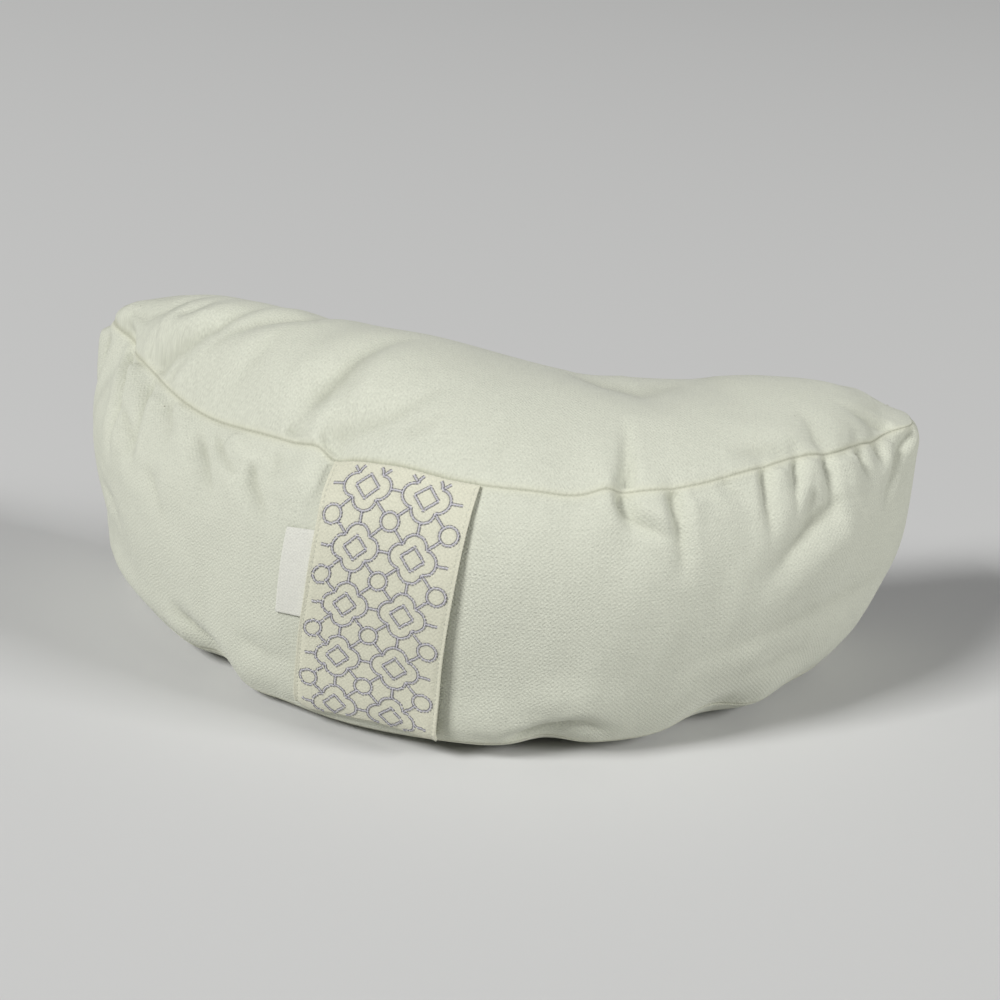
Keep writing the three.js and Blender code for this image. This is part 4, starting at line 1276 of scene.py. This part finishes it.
def walked(line, step):
    """Evenly spaced places on a line, each with the direction there."""
    run = shares_of(line)[1]
    count = max(int(round(run[-1] / step)), 1)
    goal = (np.arange(count) + 0.5) * run[-1] / count

    def at(reach):
        return np.stack([np.interp(goal + reach, run, line[:, k]) for k in range(line.shape[1])], -1)

    ahead = at(0.1) - at(-0.1)
    return zip(at(0), ahead / np.linalg.norm(ahead, axis=1)[:, None])


class CUSHION_OT_embroidery(bpy.types.Operator):
    """Sew a four-lobed trellis on the band, each line as two outlines and a paler fill"""
    bl_idname = "cushion.make_embroidery"
    bl_label = "Embroidery"

    def execute(self, context):
        size = sizes()
        tree = surface_of(bpy.data.objects["embroidered_band_cloth"])
        length, cell = wall_length(), size.motif
        low, high = 1.6 * HEM, size.band_width - 1.6 * HEM
        outline, fill = [], []
        for row in range(-1, int(length / cell) + 2):
            for column in (-1, 0, 1, 2):
                centre = np.array([size.band_width / 2 + (column - 0.5) * cell, (row + MOTIF_START) * cell])
                for line in trellis(cell):
                    line = line + centre
                    if line[:, 0].min() < low or line[:, 0].max() > high:
                        continue
                    for spot, ahead in walked(line, ROW_STITCH):
                        if not EMBROIDERY_END < spot[1] < length - EMBROIDERY_END:
                            continue
                        place, out = on_band(tree, *spot)
                        direction = on_band(tree, *(spot + 0.5 * ahead))[0] - place
                        direction /= np.linalg.norm(direction)
                        side = np.cross(direction, out)
                        for hand, rows, width, height in (
                                (-1, outline, THREAD_WIDTH, THREAD_HEIGHT),
                                (0, fill, FILL_WIDTH, FILL_HEIGHT),
                                (1, outline, THREAD_WIDTH, THREAD_HEIGHT)):
                            rows.append(Mark(
                                place + hand * side * ROW_GAP / 2 * MM, direction, out,
                                STITCH_OVERLAP * ROW_STITCH * MM, width * MM, height * MM))
        print("embroidery stitches", len(outline) + len(fill))
        colour = colours()
        for name, rows, thread, tint in (
                ("embroidery", outline, "grey_rayon_thread", colour.thread),
                ("embroidery_fill", fill, "pale_rayon_thread", colour.fill)):
            finish_piece(stitch_mesh(name, rows), spun_thread(thread, tint, 0.45, 0.3))
        return {"FINISHED"}


def seam_marks(line, tree):
    """Stitches along a closed seam of points in metres, laid on a surface."""
    line = np.concatenate([line, line[:1]])
    run = shares_of(line)[1]
    step, length, width, height = (value * MM for value in SEAM_STITCH)
    goal = np.arange(0, run[-1] - step / 2, step)
    spots = np.stack([np.interp(goal, run, line[:, k]) for k in range(3)], -1)
    marks = []
    for i, spot in enumerate(spots):
        ahead = spots[(i + 1) % len(spots)] - spots[i - 1]
        hit, out = (np.array(found) for found in tree.find_nearest(Vector(spot))[:2])
        marks.append(Mark(hit, ahead / np.linalg.norm(ahead), out, length, width, height))
    return marks


class CUSHION_OT_stitching(bpy.types.Operator):
    """Sew both seams and the long edges of the band"""
    bl_idname = "cushion.make_stitching"
    bl_label = "Seam stitching"

    def execute(self, context):
        size = sizes()
        cover = bpy.data.objects["cushion_cover"]
        points = coordinates(cover.data)
        wall = lay_out(make_grid(True)).wall
        tree = surface_of(cover)
        marks = []
        for row in (0, -1):
            marks += seam_marks(points[wall[row]], tree)
        thread = spun_thread("cream_cotton_thread", colours().seam, 0.7, 0.2)
        finish_piece(stitch_mesh("seam_stitches", marks), thread)
        tree = surface_of(bpy.data.objects["embroidered_band_cloth"])
        marks = []
        _, *shape = (value * MM for value in BAND_STITCH)
        for across in (HEM, size.band_width - HEM):
            for down in np.arange(3.0, wall_length() - 4, BAND_STITCH.step):
                place, out = on_band(tree, across, down)
                direction = on_band(tree, across, down + 0.5)[0] - place
                direction /= np.linalg.norm(direction)
                marks.append(Mark(place, direction, out, *shape))
        finish_piece(stitch_mesh("band_edge_stitches", marks), thread)
        return {"FINISHED"}


# Stage

class CUSHION_OT_stage(bpy.types.Operator):
    """Set the pale floor, the soft lights and the camera"""
    bl_idname = "cushion.make_stage"
    bl_label = "Stage"

    def execute(self, context):
        scene = context.scene
        scene.view_settings.view_transform = "Standard"
        floor = mesh_object("floor", [(-8, -8, 0), (8, -8, 0), (8, 12, 0), (-8, 12, 0)], [(0, 1, 2, 3)])
        floor.location.z = -0.0002
        # Matt emulsion paint: an even tone without gloss
        material, tree = new_material("painted_studio_floor")
        shader = node(tree, "ShaderNodeBsdfPrincipled", {
            "Base Color": (*colours().floor, 1), "Roughness": 0.95, "Specular IOR Level": 0.1})
        node(tree, "ShaderNodeOutputMaterial", {"Surface": shader.outputs["BSDF"]})
        floor.data.materials.append(material)

        world = bpy.data.worlds.new("soft_room")
        world.use_nodes = True
        room = world.node_tree.nodes["Background"].inputs
        room["Color"].default_value = (0.98, 1.0, 0.99, 1)
        room["Strength"].default_value = ROOM_LIGHT
        scene.world = world
        for box in SOFTBOXES:
            light = bpy.data.lights.new(box.name, "AREA")
            light.shape, light.size, light.energy = "SQUARE", box.side, box.power
            lamp = bpy.data.objects.new(box.name, light)
            scene.collection.objects.link(lamp)
            lamp.location = box.place
            towards = Vector(LIGHTS_AIM) - Vector(box.place)
            lamp.rotation_euler = towards.to_track_quat("-Z", "Y").to_euler()

        camera = bpy.data.cameras.new("camera")
        camera.sensor_width = SENSOR
        camera.lens = LENS
        camera.clip_start, camera.clip_end = 0.05, 60
        view = bpy.data.objects.new("camera", camera)
        scene.collection.objects.link(view)
        azimuth, elevation, roll = (math.radians(turn) for turn in CAMERA_TURN)
        level = math.cos(elevation)
        back = Vector((math.sin(azimuth) * level, -math.cos(azimuth) * level, math.sin(elevation)))
        right = (-back).cross(Vector((0, 0, 1))).normalized()
        up = right.cross(-back)
        turned_right = right * math.cos(roll) + up * math.sin(roll)
        turned_up = up * math.cos(roll) - right * math.sin(roll)
        axes = Matrix((turned_right, turned_up, back)).transposed().to_4x4()
        view.matrix_world = Matrix.Translation(Vector(AIM) + back * DISTANCE) @ axes
        scene.camera = view
        return {"FINISHED"}


class CUSHION_PT_sidebar(bpy.types.Panel):
    """Lists the cushion's pieces and its sizes"""
    bl_label = "Crescent cushion"
    bl_idname = "CUSHION_PT_sidebar"
    bl_space_type = "VIEW_3D"
    bl_region_type = "UI"
    bl_category = "Cushion"

    def draw(self, context):
        for operator in OPERATORS:
            self.layout.operator(operator.bl_idname)
        for group in (context.scene.cushion_sizes, context.scene.cushion_colours):
            for name in group.__annotations__:
                self.layout.prop(group, name)


OPERATORS = (
    CUSHION_OT_stage, CUSHION_OT_cover, CUSHION_OT_band, CUSHION_OT_embroidery,
    CUSHION_OT_stitching, CUSHION_OT_label,
)
CLASSES = (CushionSizes, CushionColours, *OPERATORS, CUSHION_PT_sidebar)


def register():
    for each in CLASSES:
        bpy.utils.register_class(each)
    bpy.types.Scene.cushion_sizes = bpy.props.PointerProperty(type=CushionSizes)
    bpy.types.Scene.cushion_colours = bpy.props.PointerProperty(type=CushionColours)


def unregister():
    del bpy.types.Scene.cushion_colours
    del bpy.types.Scene.cushion_sizes
    for each in reversed(CLASSES):
        bpy.utils.unregister_class(each)


def main():
    register()
    bpy.ops.cushion.make_stage()
    bpy.ops.cushion.make_cover()
    bpy.ops.cushion.make_band()
    bpy.ops.cushion.make_embroidery()
    bpy.ops.cushion.make_stitching()
    bpy.ops.cushion.make_label()


if __name__ == "__main__":
    main()
